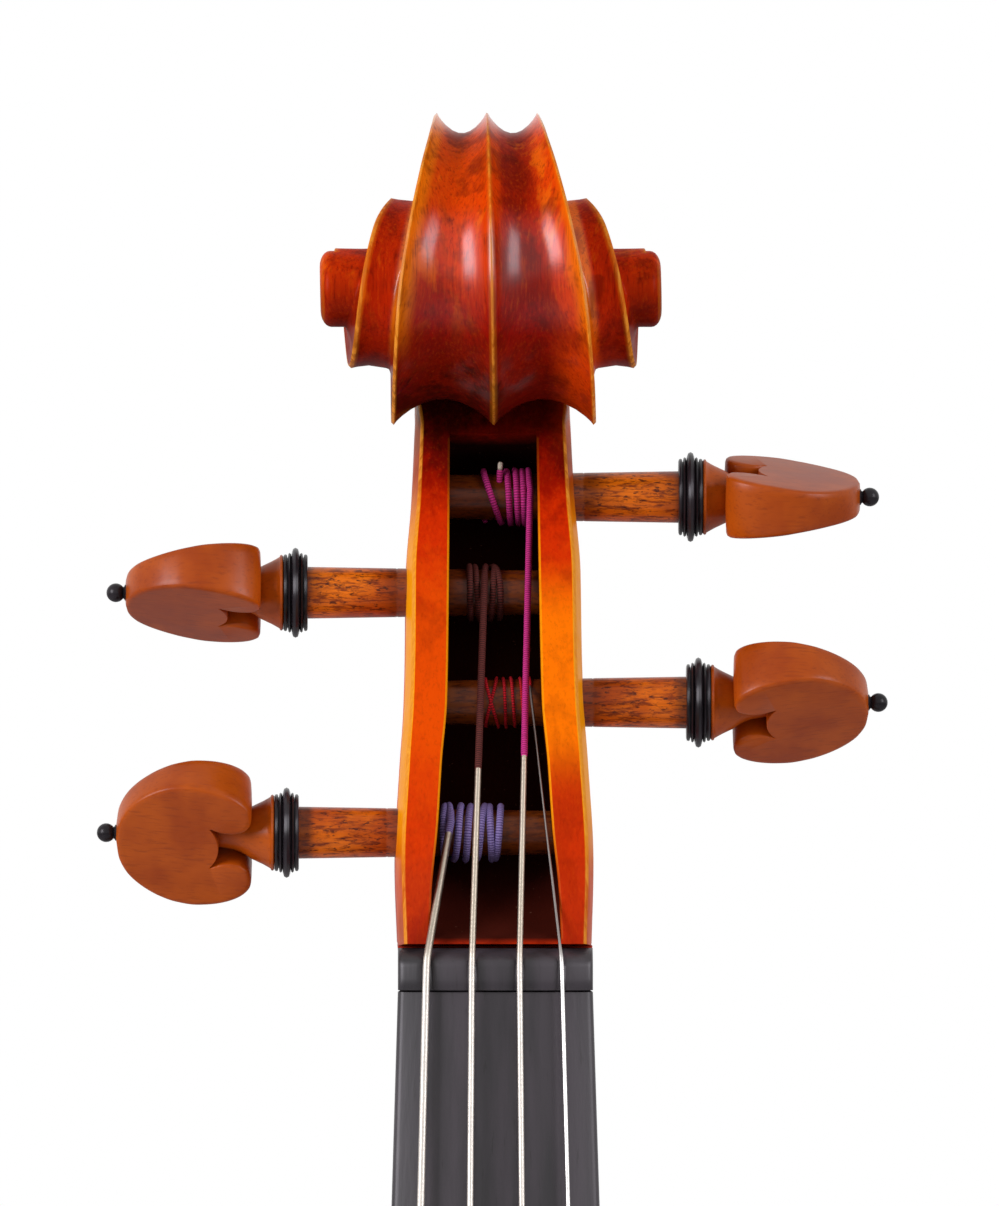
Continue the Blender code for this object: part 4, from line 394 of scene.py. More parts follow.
def ebony(name, level=1.0, polish=0.0):
    """Near-black wood with fine open pores and a rubbed surface."""
    made = Finish(name, {"IOR": 1.5, "Specular IOR Level": 0.5 - 0.3 * polish})
    pores = made.noise(made.mapped((1500, 1500, 60)), 1.0, 3.0, 0.6)
    streak = made.noise(made.mapped((260, 260, 6)), 1.0, 3.0, 0.55)
    rubbed = made.noise(made.mapped((1, 1, 1)), 40.0, 3.0, 0.6)
    tone = [part * level for part in (35, 31, 35)], [part * level for part in (60, 53, 59)]
    colour = made.mix(made.rise(streak, 0.35, 0.7), paint(*tone[0]), paint(*tone[1]))
    colour = made.mix(made.rise(pores, 0.62, 0.75) * 0.6, colour, paint(16, 12, 11))
    roughness = 0.34 - 0.14 * polish + rubbed * 0.16
    return made.wear(colour, roughness, pores, 0.06 * MM, 0.3 - 0.2 * polish)


def boxwood(name):
    """Stained boxwood: mottled on the shaft, even and satin on the head."""
    made = Finish(name, {"Specular IOR Level": 0.05, "Coat Weight": 0.36, "Coat Roughness": 0.3})
    fine = made.noise(made.mapped((160, 2800, 2800)), 1.0, 3.0, 0.6)
    figure = made.noise(made.mapped((420, 2100, 2100)), 1.0, 4.0, 0.7, 0.3)
    pits = made.noise(made.mapped((900, 2600, 2600)), 1.0, 3.0, 0.6)
    cloud = made.noise(made.mapped((1, 1, 1)), 110.0, 3.0, 0.6)
    away = made.maths("ABSOLUTE", made.axis("X"))
    head = made.rise(away, 27 * MM, 28 * MM)
    colour = made.mix(made.rise(cloud, 0.3, 0.7), paint(150, 58, 3), paint(176, 78, 6))
    shaft = made.mix(made.rise(cloud, 0.35, 0.65), paint(222, 112, 10), paint(176, 74, 5))
    shaft = made.mix(made.rise(figure, 0.46, 0.64) * 0.85, shaft, paint(98, 32, 6))
    shaft = made.mix(made.rise(pits, 0.56, 0.66) * 0.85, shaft, paint(50, 15, 6))
    # Painted shade: the shaft darkens where it meets the cheek and the collar, and inside the pegbox.
    cheek_and_collar_shade = made.rise(away, 15.5 * MM, 12.5 * MM) + made.rise(away, 23.4 * MM, 24.6 * MM)
    shaft = made.mix(made.clamp(cheek_and_collar_shade) * 0.6, shaft, paint(56, 24, 12))
    shaft = made.mix(made.rise(away, 11 * MM, 9 * MM) * 0.5, shaft, paint(70, 30, 12))
    colour = made.mix(head, shaft, colour)
    colour = made.mix(made.rise(fine, 0.5, 0.72) * 0.35, colour, paint(104, 36, 8))
    gloss = 0.46 - (1 - head) * 0.16 + cloud * 0.08
    return made.wear(colour, gloss, fine + figure, 0.05 * MM, 0.12)


def silk(name, colour, shade):
    """Silk thread laid in close turns round a string."""
    made = Finish(name, {"Specular IOR Level": 0.2})
    ribs = made.maths("SINE", made.attribute("along") * 19000.0) * 0.5 + 0.5
    fuzz = made.noise(made.object, 2600.0, 2.0)
    tone = made.mix(made.rise(ribs, 0.1, 0.7), shade, colour)
    tone = made.mix(made.rise(fuzz, 0.5, 0.7) * 0.3, tone, shade)
    return made.wear(tone, 0.6 + fuzz * 0.25, ribs + fuzz, 0.1 * MM, 0.6)


def metal(name, colour, roughness, wound=False, bare=None):
    """Bright metal with fine rubbed marks, or the close turns of a wound string; above the nut its colour is painted
    darker, as shade over the pegbox.
    """
    made = Finish(name, {"Metallic": 1.0})
    marks = made.noise(made.mapped((1, 1, 1)), 900.0, 3.0)
    cloud = made.noise(made.mapped((1, 1, 1)), 120.0, 2.0)
    shade = made.mix(made.rise(cloud, 0.3, 0.8) * 0.4, colour, [part * 0.6 for part in colour[:3]] + [1])
    # Painted shade: above the nut the colour turns to the darker one given, where the strings run over the dark
    # pegbox.
    if bare:
        above = made.rise(made.axis("Z"), -79 * MM, -74 * MM)
        shade = made.mix(above, shade, bare)
    height = made.wave(made.mapped(), 1900.0, "Z") if wound else marks
    return made.wear(shade, roughness + marks * 0.15, height, 0.05 * MM, 0.4)


def cork_sheet(name):
    made = Finish(name)
    cells = made.node("ShaderNodeTexVoronoi", None, {"Vector": made.object, "Scale": 1200.0})
    flecks = made.noise(made.object, 300.0, 4.0, 0.7)
    colour = made.mix(made.rise(flecks, 0.4, 0.65), paint(176, 132, 88), paint(112, 70, 38))
    return made.wear(colour, 0.85 + cells * 0.1, cells + flecks, 0.15 * MM, 0.7)


def smooth_nylon(name):
    made = Finish(name)
    marks = made.noise(made.mapped((1, 1, 1)), 500.0, 3.0)
    colour = made.mix(marks, paint(18, 18, 18), paint(34, 33, 33))
    return made.wear(colour, 0.3 + marks * 0.2, marks, 0.05 * MM, 0.3)


FINISHES = {
    "varnished_maple": varnished_maple("varnished_maple"),
    "figured_maple": varnished_maple("figured_maple", figure=0.6),
    "head_varnish": head_varnish("head_varnish"),
    "varnished_spruce": varnished_spruce("varnished_spruce"),
    "top_varnish": top_varnish("top_varnish"),
    "back_varnish": back_varnish("back_varnish"),
    "plain_spruce": bare_wood("plain_spruce", paint(226, 190, 138), paint(190, 142, 86)),
    "plain_maple": bare_wood("plain_maple", paint(224, 184, 126), paint(178, 120, 66)),
    "ebony": ebony("ebony", 0.88),
    "polished_ebony": ebony("polished_ebony", 0.72, 1.0),
    "boxwood": boxwood("boxwood"),
    # The last colour of the strings is painted shade for where they run over the pegbox.
    "string_silver": metal("string_silver", paint(222, 216, 207), 0.34, True, paint(180, 170, 154)),
    "string_steel": metal("string_steel", paint(222, 220, 216), 0.3, bare=paint(140, 134, 130)),
    "plated_steel": metal("plated_steel", paint(216, 216, 220), 0.18),
    "cork": cork_sheet("cork"),
    "black_nylon": smooth_nylon("black_nylon"),
    "silk_lavender": silk("silk_lavender", paint(158, 142, 200), paint(98, 82, 140)),
    "silk_brown": silk("silk_brown", paint(98, 44, 38), paint(48, 18, 16)),
    "silk_magenta": silk("silk_magenta", paint(212, 54, 142), paint(140, 28, 88)),
    "silk_red": silk("silk_red", paint(206, 26, 40), paint(124, 10, 18)),
}
FIGURED_NODES = ("back_plate", "rib")


def dress(node, finish=None):
    """Gives a solid that is kept its finish, in place of the plain one it came with."""
    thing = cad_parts[node]
    own = thing.material_slots[0].material.name.split(".")[0]
    chosen = finish or own
    thing.material_slots[0].material = FINISHES[chosen]


# Shapes


class Curve:
    """A smooth line through the rows of a table, read at any place between them."""

    def __init__(self, rows, column=1):
        self.at_rows = [float(row[0]) for row in rows]
        self.values = [float(row[column]) for row in rows]
        steps = [
            (b - a) / (y - x)
            for a, b, x, y in zip(self.values, self.values[1:], self.at_rows, self.at_rows[1:])
        ]
        middle = [2 * a * b / (a + b) if a * b > 0 else 0.0 for a, b in zip(steps, steps[1:])]
        self.slopes = [steps[0], *middle, steps[-1]]

    def at(self, place):
        place = min(max(place, self.at_rows[0]), self.at_rows[-1])
        i = min(max(int(np.searchsorted(self.at_rows, place)) - 1, 0), len(self.values) - 2)
        span = self.at_rows[i + 1] - self.at_rows[i]
        t = (place - self.at_rows[i]) / span
        return (
            (2 * t**3 - 3 * t * t + 1) * self.values[i]
            + (t**3 - 2 * t * t + t) * span * self.slopes[i]
            + (3 * t * t - 2 * t**3) * self.values[i + 1]
            + (t**3 - t * t) * span * self.slopes[i + 1]
        )


def smooth_rows(rows, steps):
    """Rows of a table with smooth ones set between them, all columns alike."""
    curves = [Curve([(i, row[k]) for i, row in enumerate(rows)]) for k in range(len(rows[0]))]
    count = (len(rows) - 1) * steps
    return [tuple(curve.at(i / steps) for curve in curves) for i in range(count + 1)]


def drawn(shape, rings, closed=False):
    """A skin over rings of points, each ring drawn out of the one before it."""
    row = [shape.verts.new(point) for point in rings[0]]
    rows = [row]
    pairs = list(zip(row, row[1:] + row[:1] if closed else row[1:]))
    edges = [shape.edges.new(pair) for pair in pairs]
    for ring in rings[1:]:
        out = bmesh.ops.extrude_edge_only(shape, edges=edges)["geom"]
        fresh = {item for item in out if isinstance(item, bmesh.types.BMVert)}
        row = [
            next(edge.other_vert(vert) for edge in vert.link_edges if edge.other_vert(vert) in fresh)
            for vert in row
        ]
        for vert, point in zip(row, ring):
            vert.co = point
        rows.append(row)
        edges = [shape.edges.get(pair) for pair in zip(row, row[1:] + row[:1] if closed else row[1:])]
    return rows


def capped(shape, rows):
    """Closes the two ends of a skin of closed rings."""
    for row in (rows[0], rows[-1]):
        edges = [shape.edges.get(pair) for pair in zip(row, row[1:] + row[:1])]
        bmesh.ops.edgeloop_fill(shape, edges=edges)


def spun(shape, profile, steps=64):
    """Turns a profile of (radius, height) about Z."""
    verts = [shape.verts.new((radius, 0.0, height)) for radius, height in profile]
    edges = [shape.edges.new(pair) for pair in zip(verts, verts[1:])]
    bmesh.ops.spin(
        shape,
        geom=verts + edges,
        axis=(0, 0, 1),
        cent=(0, 0, 0),
        angle=2 * math.pi,
        steps=steps,
        use_merge=True,
    )


def threaded(shape, path, radius, sides=12, ends=True):
    """A round thread along a path, its vertices marked with their distance from the start."""
    along = shape.verts.layers.float.get("along") or shape.verts.layers.float.new("along")
    points = [Vector(point) for point in path]
    side = (points[1] - points[0]).orthogonal().normalized()
    rings, lengths, length = [], [], 0.0
    for i, point in enumerate(points):
        ahead = points[min(i + 1, len(points) - 1)] - points[max(i - 1, 0)]
        ahead.normalize()
        side = (side - ahead * side.dot(ahead)).normalized()
        across = ahead.cross(side)
        thick = radius(point) if callable(radius) else radius
        thick *= 0.72 if i in (0, len(points) - 1) else 1.0
        ring = []
        for k in range(sides):
            angle = 2 * math.pi * k / sides
            ring.append(point + (side * math.cos(angle) + across * math.sin(angle)) * thick)
        rings.append(ring)
        length += (point - points[max(i - 1, 0)]).length
        lengths.append(length)
    rows = drawn(shape, rings, closed=True)
    for row, place in zip(rows, lengths):
        for vert in row:
            vert[along] = place
    if ends:
        capped(shape, rows)


def piece(name, shape, body, finish, replaced=(), matrix=None, sharp=40):
    """Makes a piece: doubles merged, faces turned outwards, riding on its body in its finish."""
    if matrix:
        bmesh.ops.transform(shape, matrix=matrix, verts=shape.verts)
    bmesh.ops.remove_doubles(shape, verts=shape.verts, dist=0.002 * MM)
    bmesh.ops.recalc_face_normals(shape, faces=shape.faces)
    mesh = bpy.data.meshes.new(name)
    shape.to_mesh(mesh)
    shape.free()
    mesh.shade_smooth()
    mesh.set_sharp_from_angle(angle=math.radians(sharp))
    mesh.materials.append(FINISHES[finish])
    made = bpy.data.objects.new(name, mesh)
    bpy.context.scene.collection.objects.link(made)
    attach(made, body)
    if replaced:
        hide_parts(*replaced)
    return made


def smoothed(node, finish=None, sharp=28):
    """A copy of a solid with its facets merged into smooth faces."""
    shape = bmesh.new()
    shape.from_mesh(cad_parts[node].data)
    bmesh.ops.remove_doubles(shape, verts=shape.verts, dist=0.005 * MM)
    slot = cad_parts[node].material_slots[0].material.name.split(".")[0]
    slot = slot if slot in FINISHES else "varnished_maple"
    piece(node + "_smooth", shape, "instrument", finish or slot, (node,), sharp=sharp)


# Head: scroll, pegbox and neck

# Turn 0 is up and 0.25 the front; then radius and half width, in mm
SCROLL_TURNS = (
    (-0.35, 28.2, 10.2), (-0.25, 26.6, 9.2), (-0.12, 24.6, 7.8), (0.0, 23.1, 6.9), (0.06, 22.6, 7.6),
    (0.12, 22.0, 9.0), (0.18, 21.4, 10.6), (0.25, 20.6, 12.2), (0.31, 19.9, 12.9), (0.38, 19.0, 13.3),
    (0.5, 17.8, 13.45), (0.65, 15.9, 13.3), (0.75, 14.6, 13.0), (0.88, 12.9, 12.8), (1.0, 11.9, 13.2),
    (1.12, 11.4, 15.3), (1.25, 11.1, 17.2), (1.38, 10.7, 18.3), (1.5, 10.4, 18.9), (1.62, 9.1, 19.3),
    (1.75, 7.3, 19.7), (1.9, 5.9, 20.1), (2.05, 5.0, 20.5),
)
SCROLL_RADIUS = Curve(SCROLL_TURNS)
SCROLL_WIDTH = Curve(SCROLL_TURNS, 2)
SCROLL_START = -0.35
SCROLL_END = 2.05
TURN_STEPS = 80
EYE_Z = 10.7 * MM
EYE_RADIUS = 5.0 * MM
EYE_HALF_WIDTH = 22.4 * MM
# How far along the surface each line of points runs, from the spine's edge to the chamfer
SPINE = 0.1 * MM
OUTER_SHARES = (0.5, 0.84, 1.0)
BOX_STEPS = 96
INNER_SHARES = (0.0, 0.05, 0.12, 0.22, 0.33, 0.45, 0.57, 0.69)
# The pegbox's front and back lines in the side view, as (y, z) in mm, drawn as Bezier curves
CHEEK_FRONT = ((-29.5, -75.0), (-20.88, -50.25), (-6.38, -20.48), (11.25, -0.23))
HEAD_BACK = ((-1.5, -75.0), (9.75, -54.0), (19.06, -19.38), (22.81, -5.88))
PEGBOX_WIDTH = Curve(
    ((0, 10.1), (6, 10.3), (16, 10.75), (26, 11.5), (36, 11.6), (43, 11.8), (51, 12.35), (64, 13.0), (75, 12.7))
)
CAVITY_WIDTH = Curve(((8, 5.7), (26, 5.9), (43, 6.2), (51, 6.9), (60, 7.5), (68, 8.3), (75, 8.6)))
# Depth of the hollow at each drop below the seat
CAVITY_DEPTH = Curve(
    (
        (8.5, 0.0), (9.5, 8.0), (11.5, 13.5), (15, 16.2), (25, 17.5), (41, 17.5), (57, 17.0),
        (66, 14.5), (70.5, 9.0), (73.0, 4.5), (74.0, 2.2), (74.4, 0.0),
    )
)
# Neck: height, back, half width and how round its section is, down to the heel's cap
NECK_ROWS = (
    (-75.3, -1.5, 12.7, 0.0), (-79.3, -2.9, 12.4, 0.35), (-83.3, -7.3, 12.4, 0.7),
    (-86.3, -11.35, 12.45, 0.9), (-89.3, -13.09, 12.5, 1.0), (-100.0, -14.15, 12.87, 1.0),
    (-150.0, -19.09, 14.38, 1.0), (-195.0, -23.54, 15.74, 1.0), (-206.07, -21.07, 14.7, 1.0),
    (-212.57, -14.26, 13.8, 0.9), (-215.87, -3.13, 12.36, 0.8), (-217.07, 7.39, 11.0, 0.7),
    (-229.77, 7.39, 11.0, 0.7),
)
# The foot under the heel, which stands between the ribs: height, back and half width
FOOT_ROWS = ((-230.0, 7.39, 11.0), (-233.4, 7.39, 11.0), (-233.45, 7.09, 9.0), (-239.05, 7.09, 9.0))
FOOT_FRONT = -30.6
GLUE_LINE = Curve(
    ((-389, -56.1), (-350, -52.42), (-300, -47.63), (-250, -42.77), (-150, -32.5), (-75, -25.2))
)


def on_scroll(turn, x, radius):
    angle = 2 * math.pi * turn
    return Vector((x, -radius * math.sin(angle), EYE_Z + radius * math.cos(angle)))


def bezier(points, t):
    s = 1 - t
    shares = (s**3, 3 * s * s * t, 3 * s * t * t, t**3)
    return [sum(share * point[k] for share, point in zip(shares, points)) for k in range(2)]


class Scroll:
    """The sections of the scroll's right half, one for each step of its turns."""

    def __init__(self, settings):
        self.settings = settings
        self.last = round((SCROLL_END - SCROLL_START) * TURN_STEPS)
        self.turns = [SCROLL_START + i / TURN_STEPS for i in range(self.last + 1)]
        self.radii = [SCROLL_RADIUS.at(turn) * MM for turn in self.turns]
        self.widths = [SCROLL_WIDTH.at(turn) * MM for turn in self.turns]

    def below(self, i):
        """Radius of what lies under the wall of a section."""
        return self.radii[i + TURN_STEPS] if i + TURN_STEPS <= self.last else EYE_RADIUS

    def ease(self, i):
        """Edges grow finer towards the eye, where the walls are low."""
        room = self.radii[i] - self.below(i)
        if i > TURN_STEPS:
            room = min(room, self.widths[i] - self.widths[i - TURN_STEPS])
        return min(room / (2.4 * MM), 1.0)

    def fillet(self, i):
        return 0.5 * MM * min((self.radii[i] - self.below(i)) / (2.4 * MM), 1.0)

    def surface(self, i):
        """The outside of a turn, from its inner line to its chamfer, as (x, radius, edge)."""
        radius, width = self.radii[i], self.widths[i]
        chamfer = self.settings.chamfer * self.ease(i)
        edge = width - chamfer
        inner = 0.0
        row = []
        if i <= TURN_STEPS:
            fade = min(max((TURN_STEPS - i) / (0.12 * TURN_STEPS), 0.0), 1.0)
            depth = self.settings.flute * fade * (0.55 + 0.45 * width / (13.2 * MM))
            throat = self.widths[0] + self.fillet(0)
            last_edge = self.widths[TURN_STEPS] - self.settings.chamfer * self.ease(TURN_STEPS)
            inner = (throat - SPINE) / (last_edge - SPINE)
            row.append((0.0, radius, 0.8))
            for share in (*INNER_SHARES, inner):
                low = depth * math.sin(math.pi * share) ** 0.8
                row.append((SPINE + (edge - SPINE) * share, radius - low, 0.8 if share == 0 else 0.0))
            for share in OUTER_SHARES:
                place = inner + (1 - inner) * share
                low = depth * max(math.sin(math.pi * place), 0.0) ** 0.8
                row.append((SPINE + (edge - SPINE) * place, radius - low, float(share == 1)))
        else:
            start = self.widths[i - TURN_STEPS] + self.fillet(i - TURN_STEPS)
            edge = max(edge, start)
            hollow = 0.35 * MM * self.ease(i) * min((i - TURN_STEPS) / 8, 1.0)
            row.append((start, radius, 0.0))
            for share in OUTER_SHARES:
                low = hollow * math.sin(math.pi * share)
                row.append((start + (edge - start) * share, radius - low, float(share == 1)))
        row.append((width, radius - chamfer, 1.0))
        return row

    def wall(self, i):
        """The side of a turn, hollowed a little, down to the fillet at its foot."""
        chamfer = self.settings.chamfer * self.ease(i)
        width, fillet, foot = self.widths[i], self.fillet(i), self.below(i)
        top = self.radii[i] - chamfer
        height = max(top - foot - fillet, 0.0)
        row = []
        for share in (0.08, 0.35, 0.65, 0.92):
            bow = min(0.5 * MM, 0.1 * height) * math.sin(math.pi * share)
            row.append((width - bow, top - height * share, 0.0))
        row.append((width, foot + fillet, 0.0))
        row.append((width + 0.29 * fillet, foot + 0.29 * fillet, 0.0))
        row.append((width + fillet, foot, 0.0))
        return row

    def eye(self, i):
        """The button of the eye from the foot of the last wall to its middle."""
        start, end = self.widths[i] + self.fillet(i), self.widths[self.last]
        deep, rim = 1.4 * MM, 2.1 * MM
        row = [(start + (end - start) * share, EYE_RADIUS, 0.0) for share in OUTER_SHARES]
        for k in range(7):
            angle = k * math.pi / 12
            out = EYE_HALF_WIDTH - deep + deep * math.sin(angle)
            row.append((out, EYE_RADIUS - rim + rim * math.cos(angle), 0.5 if k > 2 else 0.0))
        row.append((EYE_HALF_WIDTH, EYE_RADIUS - 2.5 * MM, 0.0))
        row.append((EYE_HALF_WIDTH - 0.15 * MM, 0.45 * EYE_RADIUS, 0.0))
        row.append((EYE_HALF_WIDTH - 0.2 * MM, 0.0, 0.0))
        return row


def pegbox_section(scroll, s):
    """Half a section of the pegbox with its hollow, as (x, depth under the front, edge, hollow); the hollow mark
    gives the inside its painted shade.
    """
    settings = scroll.settings
    front, back = bezier(CHEEK_FRONT, s), bezier(HEAD_BACK, s)
    drop = -front[1]
    total = math.dist(front, back) * MM
    last = scroll.widths[0]
    width = PEGBOX_WIDTH.at(drop) * MM
    width += (last - width) * max(s - 0.9, 0.0) / 0.1
    inner = CAVITY_WIDTH.at(drop) * MM
    depth = max(CAVITY_DEPTH.at(drop), 0.0) * MM
    depth = 0.0 if drop < 8.5 or drop > 74.4 else depth
    rounding = min(0.22 * MM, depth / 3)
    corner = min(1.2 * MM, depth / 2)
    crisp = 0.4 * min(depth / MM, 1.0)
    lean = settings.lean * (1 - max(s - 0.9, 0.0) / 0.1)
    face = width - lean
    # Marks the inside of the hollow for its painted shade
    dark = 1.0 if depth else 0.0
    row = [
        (0.0, depth, 0.0, dark),
        (0.5 * inner, depth, 0.0, dark),
        (inner - corner, depth, 0.0, dark),
        (inner, depth - corner, 0.0, dark),
        (inner, max(depth - corner, 0.0) * 0.2 + rounding, 0.0, dark),
        (inner, rounding, crisp, 0.0),
        (inner + rounding, 0.0, crisp, 0.0),
        (inner + rounding + 0.15 * MM, 0.0, 0.0, 0.0),
        (face - 0.2 * MM, 0.0, 0.0, 0.0),
        (face, 0.0, 1.0, 0.0),
        (face + 0.3 * MM, 0.3 * MM, 1.0, 0.0),
        (face + 0.42 * MM, 0.9 * MM, 0.5, 0.0),
        (width - 0.2 * lean, 0.3 * MM + 0.14 * total, 0.5, 0.0),
        (width - 0.05 * lean, 0.3 * total, 0.4, 0.0),
        (width, 0.5 * total, 0.1, 0.0),
        (width, 0.75 * total, 0.0, 0.0),
        (width, total - settings.chamfer - 0.6 * MM, 0.0, 0.0),
    ]
    flute = settings.flute * (0.55 + 0.45 * last / (13.2 * MM)) * min(s / 0.15, 1.0)
    edge = width - settings.chamfer
    row.append((width, total - settings.chamfer, 1.0, 0.0))
    throat = (last + scroll.fillet(0) - SPINE) / (
        scroll.widths[TURN_STEPS] - settings.chamfer * scroll.ease(TURN_STEPS) - SPINE
    )
    shares = [*INNER_SHARES, throat, *(throat + (1 - throat) * share for share in OUTER_SHARES)]
    for share in reversed(shares):
        low = flute * max(math.sin(math.pi * share), 0.0) ** 0.8
        line = 1.0 if share in (0.0, 1.0) else 0.0
        row.append((SPINE + (edge - SPINE) * share, total - low, line * min(s / 0.1, 1.0), 0.0))
    row.append((0.0, total, min(s / 0.1, 1.0), 0.0))
    out = (Vector((0, *front)) - Vector((0, *back))).normalized()
    base = Vector((0, *front)) * MM
    return [(base - out * low + Vector((x, 0, 0)), line, dark) for x, low, line, dark in row]


def neck_section(z, back, half, roundness, front=None):
    """Half a section of the neck: flat under the fingerboard and round behind."""
    front = (GLUE_LINE.at(z) + 0.3 if front is None else front) * MM
    z, back, half = z * MM, back * MM, half * MM
    shoulder = front + (0.08 + 0.12 * roundness) * (back - front)
    row = [Vector((half * k / 9.5, front, z)) for k in range(9)]
    row.append(Vector((half - 0.3 * MM, front, z)))
    row.append(Vector((half, front + 0.3 * MM, z)))
    for k in range(19):
        angle = k * math.pi / 36
        x = half * max(math.cos(angle), 0.0) ** (0.2 + 0.6 * roundness)
        y = shoulder + (back - shoulder) * math.sin(angle) ** (0.2 + 0.8 * roundness)
        row.append(Vector((0.0 if k == 18 else x, y, z)))
    return [(point, 0.0, 0.0) for point in row]


def marked(shape, rings):
    """Draws a skin over rings of (point, edge, hollow) and keeps both marks on its vertices; the hollow mark is for
    painted shade.
    """
    edge, hollow = (shape.verts.layers.float[name] for name in ("edge", "hollow"))
    rows = drawn(shape, [[entry[0] for entry in ring] for ring in rings])
    for row, ring in zip(rows, rings):
        for vert, (point, line, dark) in zip(row, ring):
            vert[edge] = line
            vert[hollow] = dark


def neck_and_scroll(settings):
    shape = bmesh.new()
    for name in ("edge", "hollow"):
        shape.verts.layers.float.new(name)
    scroll = Scroll(settings)
    stair = []
    for i in range(scroll.last + 1):
        row = scroll.surface(i) + scroll.wall(i)
        if i >= scroll.last - TURN_STEPS:
            row += scroll.eye(i)
        stair.append([(on_scroll(scroll.turns[i], x, radius), line, 0.0) for x, radius, line in row])
    plain = len(stair[0]) - len(INNER_SHARES) - 1
    throat = len(INNER_SHARES) + 1
    eye = scroll.last - TURN_STEPS
    marked(shape, stair[: TURN_STEPS + 1])
    middle = [stair[TURN_STEPS][throat:], *stair[TURN_STEPS + 1 : eye + 1]]
    marked(shape, [ring[:plain] for ring in middle])
    marked(shape, stair[eye:])
    stations = [k / BOX_STEPS for k in range(BOX_STEPS)]
    rings = [neck_section(*row, 0.7, FOOT_FRONT) for row in reversed(FOOT_ROWS)]
    rings += [neck_section(*row) for row in reversed(smooth_rows(NECK_ROWS, 6))]
    rings += [pegbox_section(scroll, s) for s in stations]
    rings.append(stair[TURN_STEPS][: throat + 1] + list(reversed(stair[0][:-1])))
    marked(shape, rings)
    bmesh.ops.mirror(
        shape, geom=shape.verts[:] + shape.edges[:] + shape.faces[:], merge_dist=0.002 * MM, axis="X"
    )
    bmesh.ops.remove_doubles(shape, verts=shape.verts, dist=0.002 * MM)
    open_edges = [edge for edge in shape.edges if edge.is_boundary]
    bmesh.ops.holes_fill(shape, edges=open_edges, sides=0)
    for vert in shape.verts:
        vert.co.x -= settings.tilt * max(vert.co.z + 7 * MM, 0.0)
    return shape


# Pegs

# Each peg's side, the depth and height of its axis, its collar's distance, and its head's turn
PEGS = {
    "d": (1, 8.41 * MM, -16.6 * MM, 24.4 * MM, -77.5),
    "g": (-1, 0.687 * MM, -29.2 * MM, 24.4 * MM, 69.0),
    "a": (1, -6.898 * MM, -43.6 * MM, 25.2 * MM, 55.5),
    "c": (-1, -14.528 * MM, -60.6 * MM, 25.6 * MM, 37.5),
}
PEG_RADIUS = 3.4 * MM
PEG_TAPER = 1 / 60
COLLAR_WIDTH = 3.2 * MM
HEAD_START = 3.0 * MM
HEAD_LENGTH = 17.7
# Half the heart in mm: across, and out from its back; first the cleft, then the lobe to the tip
CLEFT = ((0.0, 4.3), (0.6, 4.33), (1.2, 4.43), (1.8, 4.62), (2.4, 4.9), (2.9, 5.2), (3.25, 5.5))
LOBE = (
    (3.25, 5.5), (2.85, 4.7), (2.5, 3.7), (2.4, 2.8), (2.55, 1.8), (3.05, 0.85), (3.9, 0.2), (5.0, 0.0),
    (6.1, 0.15), (7.1, 0.75), (8.1, 1.9), (8.95, 3.6), (9.5, 5.6), (9.75, 7.8), (9.5, 10.0),
    (8.8, 12.0), (7.8, 13.7), (6.4, 15.3), (4.8, 16.5), (2.5, 17.4), (0.0, 17.7),
)
HEART_THICKNESS = Curve(((0, 8.5), (3, 7.7), (7, 6.6), (10.5, 5.5), (14, 4.7), (17.7, 4.2)))
# The edge of the heart: share of the half thickness, and how far in
RIM = (
    (-1.0, 0.85), (-0.985, 0.4), (-0.94, 0.14), (-0.86, 0.02), (-0.6, -0.03), (0.0, -0.08),
    (0.6, -0.03), (0.86, 0.02), (0.94, 0.14), (0.985, 0.4), (1.0, 0.85),
)


def peg_matrix(name):
    side, y, z, collar, turn = PEGS[name]
    angle = math.radians(abs(turn))
    axis = Vector((side, 0, 0))
    face = Vector((0, -math.cos(angle), -math.copysign(math.sin(angle), turn)))
    matrix = Matrix((face.cross(axis), face, axis)).transposed().to_4x4()
    matrix.translation = Vector((0, y, z))
    return matrix


def heart(shape, start):
    """The flat heart, thick beside the stem and thin at its tip, with softened edges."""
    half = [(x, out, 0.15) for x, out in CLEFT[:-1]]
    lobe = smooth_rows(LOBE, 4)[:-1]
    half += [(x, out, 0.15 + 0.85 * min(max((k - 2) / 14, 0), 1)) for k, (x, out) in enumerate(lobe)]
    half.append((0.0, LOBE[-1][1], 1.0))
    half += [(-x, out, share) for x, out, share in reversed(half[1:-1])]
    count = len(half)
    outline = [Vector((x, out)) for x, out, share in half]
    ways = []
    for i, point in enumerate(outline):
        run = outline[(i + 1) % count] - outline[i - 1]
        ways.append(Vector((run.y, -run.x)).normalized())
    turned_in = 1 if ways[count // 2].y < 0 else -1
    rings = []
    for height, inset in RIM:
        ring = []
        for point, way, (x, out, share) in zip(outline, ways, half):
            moved = point + way * turned_in * inset * share
            thick = HEART_THICKNESS.at(moved.y) / 2
            ring.append(Vector((moved.x * MM, height * thick * MM, start + moved.y * MM)))
        rings.append(ring)
    capped(shape, drawn(shape, rings, closed=True))


